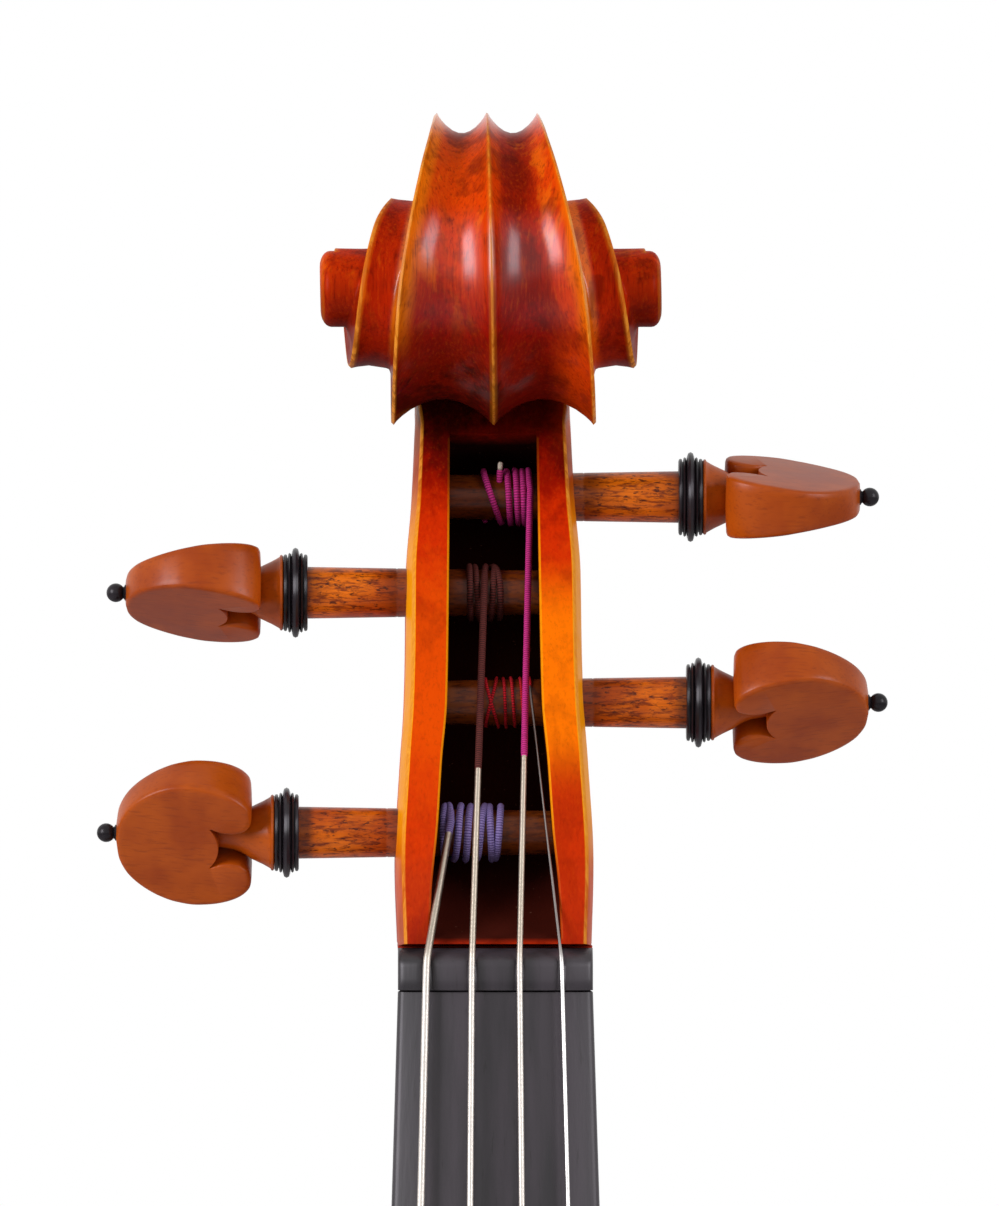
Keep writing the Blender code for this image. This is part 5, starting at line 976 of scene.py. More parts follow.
def peg(name):
    """Shaft, collared neck and heart, about the peg's own axis."""
    side, y, z, collar, turn = PEGS[name]
    shape = bmesh.new()
    neck = collar + COLLAR_WIDTH
    far = -PEGBOX_WIDTH.at(-z / MM) * MM + 0.3 * MM
    groove = PEGBOX_WIDTH.at(-z / MM) * MM + 1.0 * MM

    def shaft(place, more=0.0):
        return (PEG_RADIUS - (collar - place) * PEG_TAPER + more, place)

    profile = [(0.0, far - 0.2 * MM), shaft(far, -1.6 * MM), shaft(far + 0.25 * MM, -0.4 * MM)]
    profile += [shaft(far + 0.7 * MM), shaft(0.0), shaft(groove), shaft(groove + 0.1 * MM, -0.05 * MM)]
    profile += [shaft(groove + 0.35 * MM), shaft(neck)]
    profile += [
        (radius * MM, neck + out * MM) for radius, out in (
            (3.9, 0.0), (4.8, 0.03), (4.98, 0.2), (4.92, 0.42), (4.7, 0.5), (4.4, 1.0), (4.08, 1.6),
            (3.8, 2.2), (3.42, 3.0), (3.0, 3.6), (2.55, 4.4), (2.2, 5.3), (2.0, 6.4), (1.8, 7.8),
            (1.5, 9.0), (0.9, 9.8), (0.0, 10.2),
        )
    ]
    spun(shape, profile)
    heart(shape, neck + HEAD_START)
    return shape


def collar_rings(name):
    """The black collar: a round ring between two pairs of thin ones."""
    start = PEGS[name][3]
    profile = [
        (3.45, 0.0), (4.75, 0.0), (4.98, 0.1), (5.05, 0.28), (4.98, 0.46), (4.62, 0.54),
        (4.62, 0.6), (5.1, 0.66), (5.25, 0.82), (5.1, 1.0), (4.75, 1.05), (5.3, 1.12),
        (5.75, 1.28), (5.92, 1.6), (5.75, 1.92), (5.3, 2.08), (4.75, 2.15), (5.1, 2.2),
        (5.25, 2.38), (5.1, 2.54), (4.62, 2.6), (4.62, 2.66), (4.98, 2.74), (5.05, 2.92),
        (4.98, 3.1), (4.75, 3.2), (3.45, 3.2), (3.45, 0.0),
    ]
    shape = bmesh.new()
    spun(shape, [(radius * MM, start + height * MM) for radius, height in profile])
    return shape


def pip(name):
    """The black ball at the tip of the head, on its short neck."""
    tip = PEGS[name][3] + COLLAR_WIDTH + HEAD_START + HEAD_LENGTH * MM
    profile = [(0.0, -0.6), (1.05, -0.5), (1.05, 0.12), (0.86, 0.2), (0.76, 0.34)]
    for k in range(1, 12):
        angle = math.radians(-50 + 140 * k / 11)
        profile.append((max(1.24 * math.cos(angle), 0.0), 1.3 + 1.24 * math.sin(angle)))
    profile[-1] = (0.0, profile[-1][1])
    shape = bmesh.new()
    spun(shape, [(radius * MM, tip + height * MM) for radius, height in profile], 32)
    return shape


# Strings and the silk on their pegs

# Diameter, then where the thread lies on its peg: whole turns are at the front and it grows
# over the top, with the place across in mm
WINDINGS = {
    "d": (0.84, ((0.089, 4.75), (1, 4.0), (2, 3.15), (3, 2.05), (3.55, 1.4), (3.8, 0.95),
                 (4.2, -1.2), (4.5, -1.3), (4.7, -1.0))),
    "g": (0.82, ((0.089, -1.24), (1, -0.1), (2, 0.9), (2.5, -1.2), (3, -2.15), (4, -3.1), (4.5, -3.2))),
    "a": (0.42, ((0.091, 4.78), (1, 3.7), (2, 2.5), (2.75, 1.6), (3.25, 1.2), (3.8, -1.1),
                 (4.2, 0.3), (4.75, 0.6), (5.2, -1.1), (5.5, -0.9))),
    "c": (0.92, ((0.109, -5.78), (1, -6.75), (1.5, -5.9), (2, -4.75), (3, -3.5), (4, -1.85),
                 (4.75, -0.35), (5.2, -0.65), (5.75, 0.15), (6.2, 0.8), (6.5, 0.9))),
}
# Diameter, and where the string leaves its peg, bends over the nut and the bridge, and ends, in mm
STRING_ROUTES = {
    "c": (1.0, ((-5.778, -18.342, -59.15), (-9.0, -33.071, -77.2), (-18.0, -77.397, -450.065),
                (-11.16, -68.391, -508.065), (-11.16, -63.893, -514.615),
                (-11.16, -58.103, -515.615))),
    "g": (0.85, ((-1.237, -3.096, -28.183), (-3.1, -33.857, -77.2), (-6.2, -81.11, -450.065),
                 (-3.844, -69.24, -508.065), (-3.844, -64.817, -514.615),
                 (-3.844, -58.842, -515.615))),
    "d": (0.8, ((4.873, 4.624, -15.535), (3.1, -33.832, -77.2), (6.2, -80.837, -450.065),
                (3.844, -69.215, -508.065), (3.844, -64.817, -514.615), (3.844, -58.842, -515.615))),
    "a": (0.55, ((4.778, -10.409, -42.339), (8.6, -32.932, -77.2), (18.0, -76.452, -450.065),
                 (11.16, -70.28, -493.965))),
}
# Height in mm where the silk ends on the string itself
SILK_ENDS = {"c": -60.9, "g": -52.7, "d": -51.8}
# The end of one string stands out of its peg, in mm: first its silk, then bare wire
STUB = ((0.85, 6.9, -15.3), (0.85, 6.3, -14.5), (0.87, 6.0, -13.6), (0.9, 5.9, -13.0))
STUB_TIP = ((0.9, 5.9, -13.1), (0.93, 5.85, -12.6), (0.97, 5.85, -12.0))
SILKS = {"c": "silk_lavender", "g": "silk_brown", "d": "silk_magenta", "a": "silk_red"}


def on_peg(name, place):
    """Where the thread lies on its peg after so many turns."""
    wide, knots = WINDINGS[name]
    side, y, z, collar, turn = PEGS[name]
    x = Curve(knots).at(place)
    angle = 2 * math.pi * place
    shaft = PEG_RADIUS / MM - (collar / MM - side * x) * PEG_TAPER
    lift = shaft + wide / 2 - 0.05 + 0.12 * max(math.sin(3.1 * place), 0.0)
    return Vector((x * MM, y - lift * MM * math.cos(angle), z + lift * MM * math.sin(angle)))


def winding(name):
    """The silk turns on a peg, its end tucked in."""
    wide, knots = WINDINGS[name]
    start, end = knots[0][0], knots[-1][0]
    count = round((end - start) * 48)
    path = [on_peg(name, start + (end - start) * k / count) for k in range(count + 1)]
    middle = Vector((path[-1].x, PEGS[name][1], PEGS[name][2]))
    path[-1] = path[-1].lerp(middle, 0.4)
    shape = bmesh.new()
    threaded(shape, path, wide / 2 * MM)
    return shape


def string_path(name, low=-1.0, high=1.0):
    """The string's way between two heights: off its peg, bent softly at the nut and the bridge."""
    points = [Vector(point) * MM for point in STRING_ROUTES[name][1]]
    first = WINDINGS[name][1][0][0]
    corners = [on_peg(name, first + more) for more in (0.06, 0.03)] + [points[0]]
    for before, corner, after in zip(points, points[1:], points[2:]):
        first = corner + (before - corner).normalized() * 1.2 * MM
        last = corner + (after - corner).normalized() * 1.2 * MM
        for k in range(5):
            t = k / 4
            corners.append(first * (1 - t) ** 2 + corner * 2 * t * (1 - t) + last * t * t)
    corners.append(points[-1])
    path = []
    for a, b in zip(corners, corners[1:]):
        steps = max(int((b - a).length / (2 * MM)), 1)
        path += [a.lerp(b, k / steps) for k in range(steps)]
    path.append(corners[-1])
    kept = [point for point in path if low <= point.z <= high]
    below = [point for point in path if point.z < low]
    if below:
        last = kept[-1]
        kept.append(last.lerp(below[0], (last.z - low) / (last.z - below[0].z)))
    return kept


def string(name):
    """The string itself. The thinnest one is bare above the nut."""
    wide = STRING_ROUTES[name][0] * MM
    bare = 0.68 if name == "a" else 1.0

    def radius(point):
        above = min(max(point.z / MM + 76.5, 0.0), 1.0)
        return wide / 2 * (1 + (bare - 1) * above)

    shape = bmesh.new()
    threaded(shape, string_path(name), radius)
    return shape


def silk_sleeve(name):
    """The silk that goes on from the peg down the string."""
    wide, end = STRING_ROUTES[name][0] * MM, SILK_ENDS[name] * MM
    shape = bmesh.new()

    def radius(point):
        return wide / 2 + 0.04 * MM * min(max((point.z - end) / (0.8 * MM), 0.1), 1.0)

    threaded(shape, string_path(name, low=end), radius)
    return shape


def stub(points):
    """A short loose end of string."""
    shape = bmesh.new()
    rows = smooth_rows([[part * MM for part in point] for point in points], 3)
    threaded(shape, rows, 0.4 * MM)
    return shape


# Nut and fingerboard

CROWN_RADIUS = 42.0 * MM
NUT_HALF = 12.7 * MM


def crown_drop(x):
    return CROWN_RADIUS - math.sqrt(CROWN_RADIUS**2 - x * x)


def crown_y(z):
    return -32.1 * MM + (-75 * MM - z) * -math.tan(math.radians(6.4))


def crowned(z, half, rise, base, soft, grooves=()):
    """A section at one height: a crowned front with softened edges, down to its base."""
    front = crown_y(z) - rise
    count = 80
    ring = [Vector((-half, base, z)), Vector((-half, front + crown_drop(half) + soft, z))]
    for k in range(count + 1):
        x = (half - 0.3 * soft) * (2 * k / count - 1)
        edge = max(abs(x) - (half - soft), 0.0) / soft
        y = front + crown_drop(x) + soft * (1 - math.sqrt(max(1 - edge * edge, 0.0)))
        y += sum(deep * math.exp(-(((x - place) / wide) ** 2)) for place, wide, deep in grooves)
        ring.append(Vector((x, y, z)))
    ring += [Vector((half, front + crown_drop(half) + soft, z)), Vector((half, base, z))]
    return ring


def nut():
    """The nut: rounded over towards the pegbox, a shallow groove under each string."""
    shape = bmesh.new()
    rings = []
    places = [(route[1][0] * MM, 0.55 * wide * MM, 0.45 * MM) for wide, route in STRING_ROUTES.values()]
    for drop, rise in (
        (75.55, -3.3), (75.6, -2.2), (75.9, -1.2), (76.4, -0.35), (77.0, 0.55), (77.4, 0.85),
        (78.0, 0.9), (79.5, 0.82), (80.8, 0.72), (81.02, 0.55),
    ):
        z = -drop * MM
        rings.append(crowned(z, NUT_HALF, rise * MM, GLUE_LINE.at(-drop) * MM, 0.5 * MM, places))
    capped(shape, drawn(shape, rings, closed=True))
    return shape


def fingerboard():
    """The fingerboard, widening to its end, its long edges eased."""
    shape = bmesh.new()
    rings = []
    top, end = -81.05 * MM, -389.0 * MM
    for share in (0.0, 0.0007, 0.02, 0.2, 0.4, 0.6, 0.8, 0.98, 0.9985, 1.0):
        z = top + (end - top) * share
        half = (25.4 + 18.6 * share) / 2 * MM
        tuck = 0.35 * MM if share in (0.0, 1.0) else 0.0
        base = GLUE_LINE.at(z / MM) * MM - tuck
        rings.append(crowned(z, half - tuck, -tuck, base, 0.6 * MM))
    capped(shape, drawn(shape, rings, closed=True))
    return shape


# Body

BODY_LENGTH = 406.0
# The right side of the outline in mm, across and up from the bottom, as Bezier arcs
OUTLINE = (
    ((0, 0), (66, 0), (120, 33.62), (120, 82)),
    ((120, 82), (120, 110), (103, 126), (99, 143)),
    ((99, 143), (97.5, 150), (99.5, 156), (104, 161)),
    ((101, 168), (86, 170), (66.5, 186), (66.5, 214)),
    ((66.5, 214), (66.5, 238), (74, 252), (84, 255)),
    ((87.5, 262), (84, 266), (82.5, 272), (83, 281)),
    ((83, 281), (84, 298), (96.5, 318), (96.5, 343)),
    ((96.5, 343), (96.5, 383.95), (52.11, 406), (0, 406)),
)
ARC_STEPS = 36
# Distance from the edge of the lines of points that follow it, in mm
EDGE_LINES = (0.3, 0.7, 1.2, 2.0, 3.0, 3.85, 3.95, 4.25, 4.35, 4.65, 4.75, 5.05, 5.15, 6.0, 7.5, 9.5, 12.0)
GRID = 5.0
PLATE_THICKNESS = 3.4
# Half widths over which a plate is arched, by height
ARCH_WIDTH = Curve(((0, 20), (12, 62), (30, 92), (55, 109), (82, 115), (214, 64), (343, 92.6), (370, 84), (392, 58), (406, 20)))
STOP = BODY_LENGTH - 220.0
EYE_GAP = 42.0
F_HOLE = (
    (0.0, 31.0, 2.2), (0.8, 37.0, 1.6), (6.0, 39.8, 1.4), (10.5, 35.0, 1.8), (12.5, 24.0, 2.6),
    (15.0, 2.0, 3.1), (17.5, -20.0, 2.6), (19.5, -32.0, 1.8), (24.0, -37.8, 1.5),
    (29.5, -36.0, 2.0), (31.0, -29.0, 2.8),
)
SADDLE_NOTCH = (18.3, 7.3)
BUTTON_HALF = 11.0
BUTTON_RISE = 13.0


def outline_points():
    """Points along the right side of the outline, from the bottom to the top."""
    points = [Vector(OUTLINE[0][0])]
    for arc in OUTLINE:
        for k in range(0 if points[-1] != Vector(arc[0]) else 1, ARC_STEPS + 1):
            points.append(Vector(bezier(arc, k / ARC_STEPS)))
    return points


def away_from(points, line):
    """Distance of each point from a line of points."""
    spots = np.array([tuple(point) for point in points])[:, None, :]
    starts = np.array([tuple(point) for point in line[:-1]])[None, :, :]
    runs = np.array([tuple(point) for point in line[1:]])[None, :, :] - starts
    share = np.clip(((spots - starts) * runs).sum(-1) / (runs * runs).sum(-1), 0, 1)
    return np.sqrt(((spots - starts - share[..., None] * runs) ** 2).sum(-1)).min(axis=1)


def within(points, ring):
    """Which points lie inside a closed ring."""
    spots = np.array([tuple(point) for point in points])
    inside = np.zeros(len(spots), bool)
    for a, b in zip(ring, ring[1:] + ring[:1]):
        if a[1] == b[1]:
            continue
        crossed = (a[1] > spots[:, 1]) != (b[1] > spots[:, 1])
        inside ^= crossed & (spots[:, 0] < (b[0] - a[0]) * (spots[:, 1] - a[1]) / (b[1] - a[1]) + a[0])
    return inside


def f_hole():
    """The ring of one f-shaped hole, right of the middle."""
    rows = smooth_rows(F_HOLE, 4)
    path = [Vector((EYE_GAP / 2 + across, STOP + up)) for across, up, wide in rows]
    left, right = [], []
    for i, point in enumerate(path):
        way = (path[min(i + 1, len(path) - 1)] - path[max(i - 1, 0)]).normalized()
        off = Vector((-way.y, way.x)) * rows[i][2]
        left.append(point + off)
        right.append(point - off)
    return left + right[::-1]


def round_hole(across, up, radius, steps=20):
    """The ring of a round end of the f-shaped hole."""
    middle = Vector((EYE_GAP / 2 + across, STOP + up))
    turns = [2 * math.pi * k / steps for k in range(steps)]
    return [middle + radius * Vector((math.cos(turn), math.sin(turn))) for turn in turns]


def plate_height(across, up, inset, height):
    """Height of an arched plate over its edge: rounded edge, shallow channel, then the arch."""
    share = min(abs(across) / max(ARCH_WIDTH.at(up), 1.0), 1.0)
    length = max(1 - abs(2 * up / BODY_LENGTH - 1) ** 2.8, 0.0)
    arch = height * length * 0.5 * (1 + math.cos(math.pi * share))
    channel = 0.5 * math.exp(-(((inset - 7.5) / 3.0) ** 2))
    low = max(1.2 - inset, 0.0)
    return arch - channel - (1.2 - math.sqrt(max(1.44 - low * low, 0.0)))


def plate(edge_y, height, way, holes=(), button=False):
    """An arched plate. The lines of points along its edge carry their distance from it."""
    line = outline_points()
    ring = [tuple(point) for point in line] + [(0.0, BODY_LENGTH * k / 60) for k in range(59, 0, -1)]
    whole = list(ring)
    rings = [ring, *[[tuple(point) for point in hole] for hole in holes]]
    if button:
        turns = [math.pi / 2 * k / 12 for k in range(13)]
        round_end = [
            (BUTTON_HALF * math.cos(turn), BODY_LENGTH + BUTTON_RISE * math.sin(turn)) for turn in turns
        ]
        rings.append([(0.0, BODY_LENGTH - 4), (BUTTON_HALF, BODY_LENGTH - 4), *round_end])
    spots, edges = [], []
    for loop in rings:
        base = len(spots)
        spots += loop
        edges += [(base + k, base + (k + 1) % len(loop)) for k in range(len(loop))]
    for deep in EDGE_LINES:
        moved = []
        for before, point, after in zip([line[0] - Vector((1, 0)), *line], line, [*line[1:], line[-1] - Vector((1, 0))]):
            run = (after - before).normalized()
            moved.append(point - deep * Vector((run.y, -run.x)))
        moved = [Vector((max(point.x, 0.0), point.y)) for point in moved]
        kept = (away_from(moved, line) > 0.985 * deep) & within(moved, whole)
        kept[0] = kept[-1] = True
        last = None
        for point, good in zip(moved, kept):
            if good:
                spots.append(tuple(point))
                if last == len(spots) - 2:
                    edges.append((last, last + 1))
                last = len(spots) - 1
    grid = [
        (GRID * (i + 0.5), GRID * (k + 0.5 * (i % 2)))
        for i in range(round(120 / GRID))
        for k in range(1, round(BODY_LENGTH / GRID))
    ]
    far = (away_from(grid, line) > 14.0) & within(grid, whole)
    for hole in holes:
        far &= away_from(grid, [*hole, hole[0]]) > 1.5
    spots += [spot for spot, good in zip(grid, far) if good]
    flat, lines, faces, *_ = geometry.delaunay_2d_cdt([Vector(spot) for spot in spots], edges, [], 0, 1e-4)
    middles = [sum((flat[k] for k in face), Vector((0, 0))) / 3 for face in faces]
    kept = within(middles, whole)
    if button:
        kept |= within(middles, rings[-1])
    for hole in holes:
        kept &= ~within(middles, [tuple(point) for point in hole])
    outside = ~within(flat, whole)
    insets = away_from(flat, line)
    insets[outside] = 0.0
    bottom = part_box("top_plate")[0].z
    shape = bmesh.new()
    inset = shape.verts.layers.float.new("inset")
    verts = {}
    for face, good in zip(faces, kept):
        if not good:
            continue
        for k in face:
            if k not in verts:
                across, up = flat[k]
                y = edge_y + way * plate_height(across, up, insets[k], height) * MM
                if outside[k] and up > BODY_LENGTH:
                    y = edge_y
                verts[k] = shape.verts.new((across * MM, y, bottom + up * MM))
                verts[k][inset] = insets[k] * MM
        shape.faces.new([verts[k] for k in face])
    outer = {vert: k for k, vert in verts.items()}
    made = bmesh.ops.extrude_face_region(shape, geom=shape.faces[:], use_keep_orig=True)["geom"]
    for vert in made:
        if isinstance(vert, bmesh.types.BMVert):
            near = vert[inset] / MM
            low = max(1.2 - near, 0.0)
            rounded = 1.2 - math.sqrt(max(1.44 - low * low, 0.0)) if vert.co.z < bottom + BODY_LENGTH * MM else 0
            vert.co.y -= way * (PLATE_THICKNESS - rounded) * MM
            vert[inset] = 0.0 if near < 6 else 20 * MM
    bmesh.ops.mirror(shape, geom=shape.verts[:] + shape.edges[:] + shape.faces[:], merge_dist=0.002 * MM, axis="X")
    return shape


# The chinrest's cup: how far out and how high its rows lie, as shares of its size
CUP_ROWS = (
    (0.72, 0.0), (0.94, 0.25), (1.0, 0.7), (0.97, 1.0), (0.88, 0.95), (0.6, 0.41), (0.3, 0.375), (0.05, 0.37),
)
CUP_SIZE = (42.0, 33.0, 8.0)
CUP_PLACE = (69.0, 36.0)


def cup():
    """The dished cup of the chinrest, its rim rounded."""
    back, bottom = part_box("chinrest_cup")[1].y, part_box("top_plate")[0].z
    rings = []
    for share, rise in smooth_rows(CUP_ROWS, 4):
        ring = []
        for k in range(96):
            turn = 2 * math.pi * k / 96
            x = CUP_PLACE[0] + CUP_SIZE[0] * share * math.cos(turn)
            up = CUP_PLACE[1] + CUP_SIZE[1] * share * math.sin(turn) + 5 * share * math.cos(turn) ** 2
            ring.append((-x * MM, back - rise * CUP_SIZE[2] * MM, bottom + up * MM))
        rings.append(ring)
    shape = bmesh.new()
    capped(shape, drawn(shape, rings, closed=True))
    return shape


# The stage


def lamp(name, place, aim, size, power, colour=(1.0, 1.0, 1.0)):
    """A soft square lamp."""
    light = bpy.data.lights.new(name, "AREA")
    light.shape = "RECTANGLE"
    light.size, light.size_y = size
    light.energy = power
    light.color = colour
    made = bpy.data.objects.new(name, light)
    made.location = place
    made.rotation_euler = (Vector(aim) - Vector(place)).to_track_quat("-Z", "Y").to_euler()
    bpy.context.scene.collection.objects.link(made)


def white_world(level):
    """Even light all round, and plain white wherever it is looked at."""
    world = bpy.data.worlds.new("studio")
    bpy.context.scene.world = world
    world.use_nodes = True
    tree = world.node_tree
    tree.nodes.clear()
    seen = tree.nodes.new("ShaderNodeBackground")
    seen.inputs["Color"].default_value = (1, 1, 1, 1)
    light = tree.nodes.new("ShaderNodeBackground")
    light.inputs["Color"].default_value = (1, 1, 1, 1)
    light.inputs["Strength"].default_value = level
    path = tree.nodes.new("ShaderNodeLightPath")
    first = tree.nodes.new("ShaderNodeMath")
    second = tree.nodes.new("ShaderNodeMath")
    for sum_node in (first, second):
        sum_node.operation = "ADD"
        sum_node.use_clamp = True
    mixed = tree.nodes.new("ShaderNodeMixShader")
    out = tree.nodes.new("ShaderNodeOutputWorld")
    link = tree.links.new
    link(path.outputs["Is Camera Ray"], first.inputs[0])
    link(path.outputs["Is Glossy Ray"], first.inputs[1])
    link(first.outputs[0], second.inputs[0])
    link(path.outputs["Is Transmission Ray"], second.inputs[1])
    link(second.outputs[0], mixed.inputs[0])
    link(light.outputs[0], mixed.inputs[1])
    link(seen.outputs[0], mixed.inputs[2])
    link(mixed.outputs[0], out.inputs[0])


def floor(size):
    """A pale floor under the end button, which keeps the viola's shadow."""
    shape = bmesh.new()
    bmesh.ops.create_grid(shape, x_segments=2, y_segments=2, size=size)
    low = SOLID_BOX[0].z - 0.5 * MM
    bmesh.ops.translate(shape, vec=(0, 0, low), verts=shape.verts)
    mesh = bpy.data.meshes.new("floor")
    shape.to_mesh(mesh)
    shape.free()
    made = bpy.data.objects.new("floor", mesh)
    bpy.context.scene.collection.objects.link(made)
    pale = bpy.data.materials.new("pale_floor")
    pale.use_nodes = True
    tree = pale.node_tree
    shader = tree.nodes["Principled BSDF"]
    shader.inputs["Base Color"].default_value = (0.85, 0.85, 0.85, 1)
    shader.inputs["Roughness"].default_value = 0.9
    path = tree.nodes.new("ShaderNodeLightPath")
    glow = tree.nodes.new("ShaderNodeEmission")
    glow.inputs["Strength"].default_value = 1.21
    share = tree.nodes.new("ShaderNodeMath")
    share.operation = "MULTIPLY"
    share.inputs[1].default_value = 0.74
    mixed = tree.nodes.new("ShaderNodeMixShader")
    tree.links.new(path.outputs["Is Camera Ray"], share.inputs[0])
    tree.links.new(share.outputs[0], mixed.inputs[0])
    tree.links.new(shader.outputs[0], mixed.inputs[1])
    tree.links.new(glow.outputs[0], mixed.inputs[2])
    tree.links.new(mixed.outputs[0], tree.nodes["Material Output"].inputs[0])
    mesh.materials.append(pale)


def camera(settings):
    """The photograph's view: level, from the front and a little to the left."""
    view = bpy.data.cameras.new("camera")
    view.sensor_width = 36.0
    view.lens = 36.0 / (settings.view_height / settings.distance)
    view.clip_start = 0.05
    view.clip_end = 20.0
    made = bpy.data.objects.new("camera", view)
    turn = settings.azimuth
    aim = Vector(settings.aim)
    back = Vector((math.sin(turn), -math.cos(turn), 0))
    made.location = aim + back * settings.distance
    made.rotation_euler = (-back).to_track_quat("-Z", "Y").to_euler()
    bpy.context.scene.collection.objects.link(made)
    bpy.context.scene.camera = made


class HeadSettings(bpy.types.PropertyGroup):
    """Scroll and pegbox."""

    chamfer: bpy.props.FloatProperty(
        name="Chamfer", description="Width of the scroll's edges", default=0.34 * MM, unit="LENGTH"
    )
    flute: bpy.props.FloatProperty(
        name="Flute", description="Depth of the scroll's two flutes", default=3.4 * MM, unit="LENGTH"
    )
    tilt: bpy.props.FloatProperty(
        name="Tilt", description="How far the scroll leans to the left, over its height", default=0.021
    )
    lean: bpy.props.FloatProperty(
        name="Lean", description="How far the cheeks lean in at their front", default=1.15 * MM, unit="LENGTH"
    )


class VIOLA_OT_head(bpy.types.Operator):
    """Carves the scroll, the pegbox and the neck"""

    bl_idname = "viola.head"
    bl_label = "Head and neck"

    def execute(self, context):
        shape = neck_and_scroll(context.scene.viola_head)
        piece("head", shape, "instrument", "head_varnish", ("neck_and_scroll",), sharp=60)
        return {"FINISHED"}


class VIOLA_OT_pegs(bpy.types.Operator):
    """Turns the pegs, their collars and their tips"""

    bl_idname = "viola.pegs"
    bl_label = "Pegs"

    def execute(self, context):
        for name in PEGS:
            body = f"{name}_peg_set"
            matrix = peg_matrix(name)
            piece(f"{name}_peg", peg(name), body, "boxwood", (f"peg_{name}",), matrix=matrix)
            rings = collar_rings(name)
            piece(f"{name}_collar", rings, body, "polished_ebony", (f"peg_collar_{name}",), matrix)
            piece(f"{name}_tip", pip(name), body, "polished_ebony", (f"peg_pip_{name}",), matrix)
        return {"FINISHED"}


class VIOLA_OT_strings(bpy.types.Operator):
    """Winds the strings on their pegs and leads them to the tailpiece"""

    bl_idname = "viola.strings"
    bl_label = "Strings"

    def execute(self, context):
        for name in STRING_ROUTES:
            piece(f"{name}_turns", winding(name), f"{name}_peg_set", SILKS[name], (f"winding_{name}",))
            finish = "string_steel" if name == "a" else "string_silver"
            piece(f"{name}_string", string(name), "instrument", finish, (f"string_{name}",))
        for name in SILK_ENDS:
            piece(f"{name}_sleeve", silk_sleeve(name), "instrument", SILKS[name])
        piece("d_stub", stub(STUB), "d_peg_set", "silk_magenta")
        piece("d_stub_tip", stub(STUB_TIP), "d_peg_set", "string_silver")
        return {"FINISHED"}


class VIOLA_OT_fingerboard(bpy.types.Operator):
    """Shapes the nut and the fingerboard"""

    bl_idname = "viola.fingerboard"
    bl_label = "Nut and fingerboard"

    def execute(self, context):
        piece("string_nut", nut(), "instrument", "ebony", ("nut",))
        piece("board", fingerboard(), "instrument", "ebony", ("fingerboard",))
        return {"FINISHED"}


class StageSettings(bpy.types.PropertyGroup):
    """Camera and light."""

    azimuth: bpy.props.FloatProperty(
        name="Azimuth", description="Turn of the camera round the viola", default=math.radians(-0.5), subtype="ANGLE"
    )
    distance: bpy.props.FloatProperty(
        name="Distance", description="From the nut to the camera", default=4.0, unit="LENGTH"
    )
    view_height: bpy.props.FloatProperty(
        name="View height", description="Height of the view at the nut", default=157.1 * MM, unit="LENGTH"
    )
    aim: bpy.props.FloatVectorProperty(
        name="Aim", description="Middle of the view", default=(0.5 * MM, -33 * MM, -30.55 * MM), subtype="XYZ"
    )
    sky: bpy.props.FloatProperty(name="Sky", description="Strength of the even light", default=0.34, min=0)
    lamps: bpy.props.FloatProperty(name="Lamps", description="Strength of the soft lamps", default=1.0, min=0)


class VIOLA_OT_stage(bpy.types.Operator):
    """Sets the floor, the lamps and the camera"""

    bl_idname = "viola.stage"
    bl_label = "Stage"

    def execute(self, context):
        settings = context.scene.viola_stage
        white_world(settings.sky)
        floor(9.0)
        head = (0, -0.02, -0.02)
        lilac = (0.97, 0.93, 1.0)
        lamp("lamp_left", (-0.95, -0.66, 0.3), head, (0.5, 0.62), 12 * settings.lamps, lilac)
        lamp("lamp_right", (0.95, -0.66, 0.36), head, (0.5, 0.62), 7 * settings.lamps, lilac)
        camera(settings)
        context.scene.view_settings.view_transform = "Standard"
        return {"FINISHED"}


SIDES = [f"{place}_rib_{side}" for place in ("upper", "waist", "lower") for side in ("bass", "treble")]
SMOOTHED = ("tailpiece", "end_button", "bridge", *SIDES)


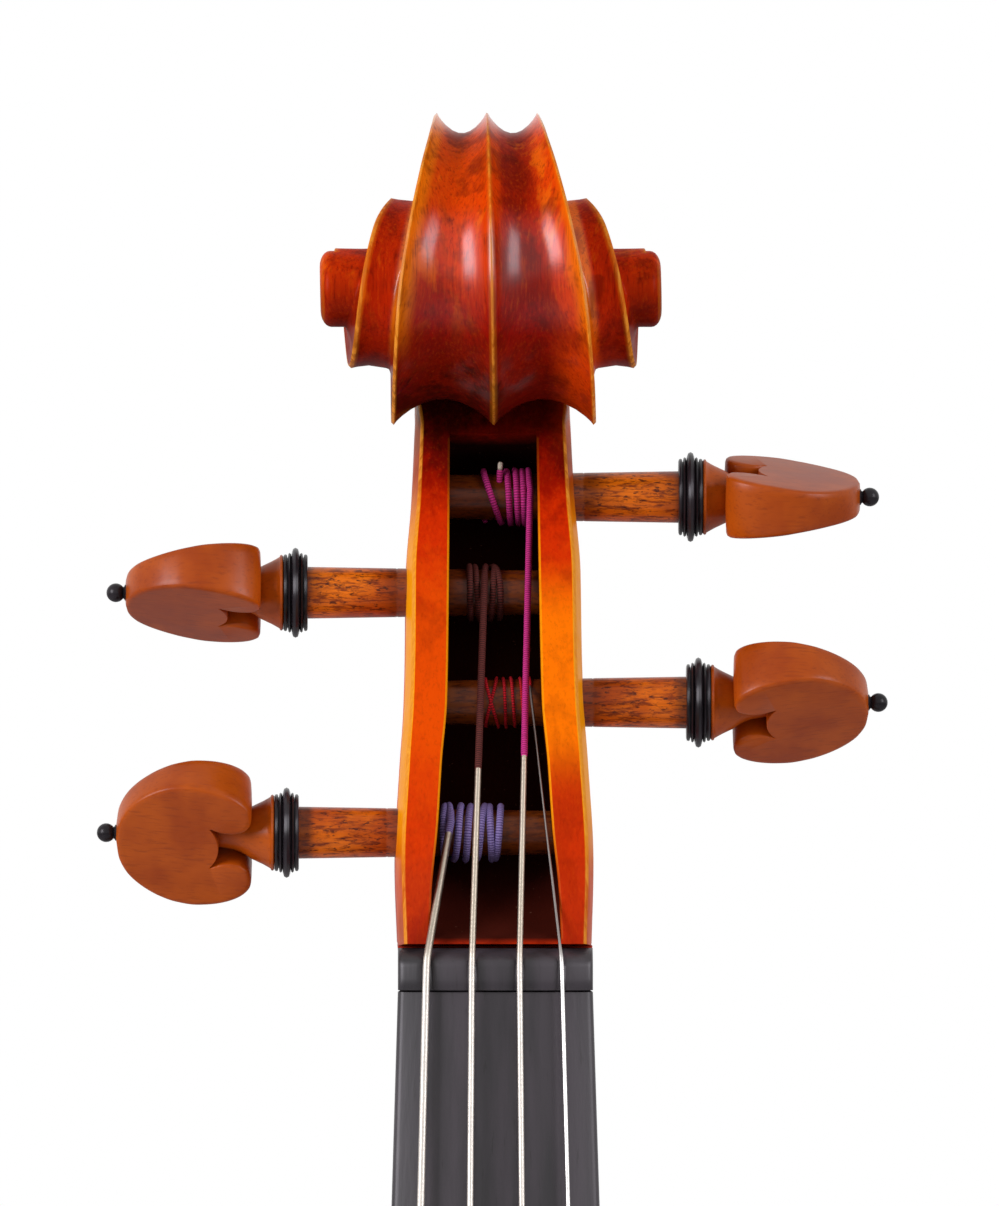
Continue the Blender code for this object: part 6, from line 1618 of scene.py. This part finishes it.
class VIOLA_OT_body(bpy.types.Operator):
    """Smooths the plates and the fittings of the body"""

    bl_idname = "viola.body"
    bl_label = "Body"

    def execute(self, context):
        notch_half, notch_up = SADDLE_NOTCH
        notch = [Vector(point) for point in ((0, -1), (notch_half, -1), (notch_half, notch_up), (0, notch_up))]
        top_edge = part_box("top_plate")[1].y - PLATE_THICKNESS * MM
        back_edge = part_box("back_plate")[0].y + PLATE_THICKNESS * MM
        holes = (f_hole(), round_hole(0.0, 30.4, 3.3), round_hole(31.4, -28.6, 4.3), notch)
        front = plate(top_edge, 13.0, -1, holes)
        piece("front", front, "instrument", "top_varnish", ("top_plate",))
        back = plate(back_edge, 11.5, 1, button=True)
        piece("back", back, "instrument", "back_varnish", ("back_plate",))
        piece("chin_cup", cup(), "instrument", "ebony", ("chinrest_cup",))
        for node in SMOOTHED:
            smoothed(node, "figured_maple" if node in SIDES else None)
        return {"FINISHED"}


class VIOLA_OT_solids(bpy.types.Operator):
    """Gives every solid that is kept its finish"""

    bl_idname = "viola.solids"
    bl_label = "Kept solids"

    def execute(self, context):
        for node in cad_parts:
            figured = any(part in node for part in FIGURED_NODES)
            dress(node, "figured_maple" if figured else None)
        return {"FINISHED"}


CLASSES = (
    HeadSettings, StageSettings, VIOLA_OT_head, VIOLA_OT_pegs, VIOLA_OT_strings,
    VIOLA_OT_fingerboard, VIOLA_OT_body, VIOLA_OT_stage, VIOLA_OT_solids,
)
SETTINGS = {"viola_head": HeadSettings, "viola_stage": StageSettings}
STEPS = ("body", "head", "pegs", "strings", "fingerboard", "solids", "stage")


class VIOLA_PT_panel(bpy.types.Panel):
    """Lists the sizes, the view, the light and the steps"""

    bl_idname = "VIOLA_PT_panel"
    bl_label = "Viola"
    bl_space_type = "VIEW_3D"
    bl_region_type = "UI"
    bl_category = "Viola"

    def draw(self, context):
        for name, group in SETTINGS.items():
            held = getattr(context.scene, name)
            column = self.layout.column()
            for key in group.__annotations__:
                column.prop(held, key)
        for step in STEPS:
            self.layout.operator("viola." + step)


def register():
    for made in (*CLASSES, VIOLA_PT_panel):
        bpy.utils.register_class(made)
    for name, group in SETTINGS.items():
        setattr(bpy.types.Scene, name, bpy.props.PointerProperty(type=group))


def unregister():
    for name in SETTINGS:
        delattr(bpy.types.Scene, name)
    for made in reversed((*CLASSES, VIOLA_PT_panel)):
        bpy.utils.unregister_class(made)


def main():
    register()
    for step in STEPS:
        getattr(bpy.ops.viola, step)()


if __name__ == "__main__":
    main()
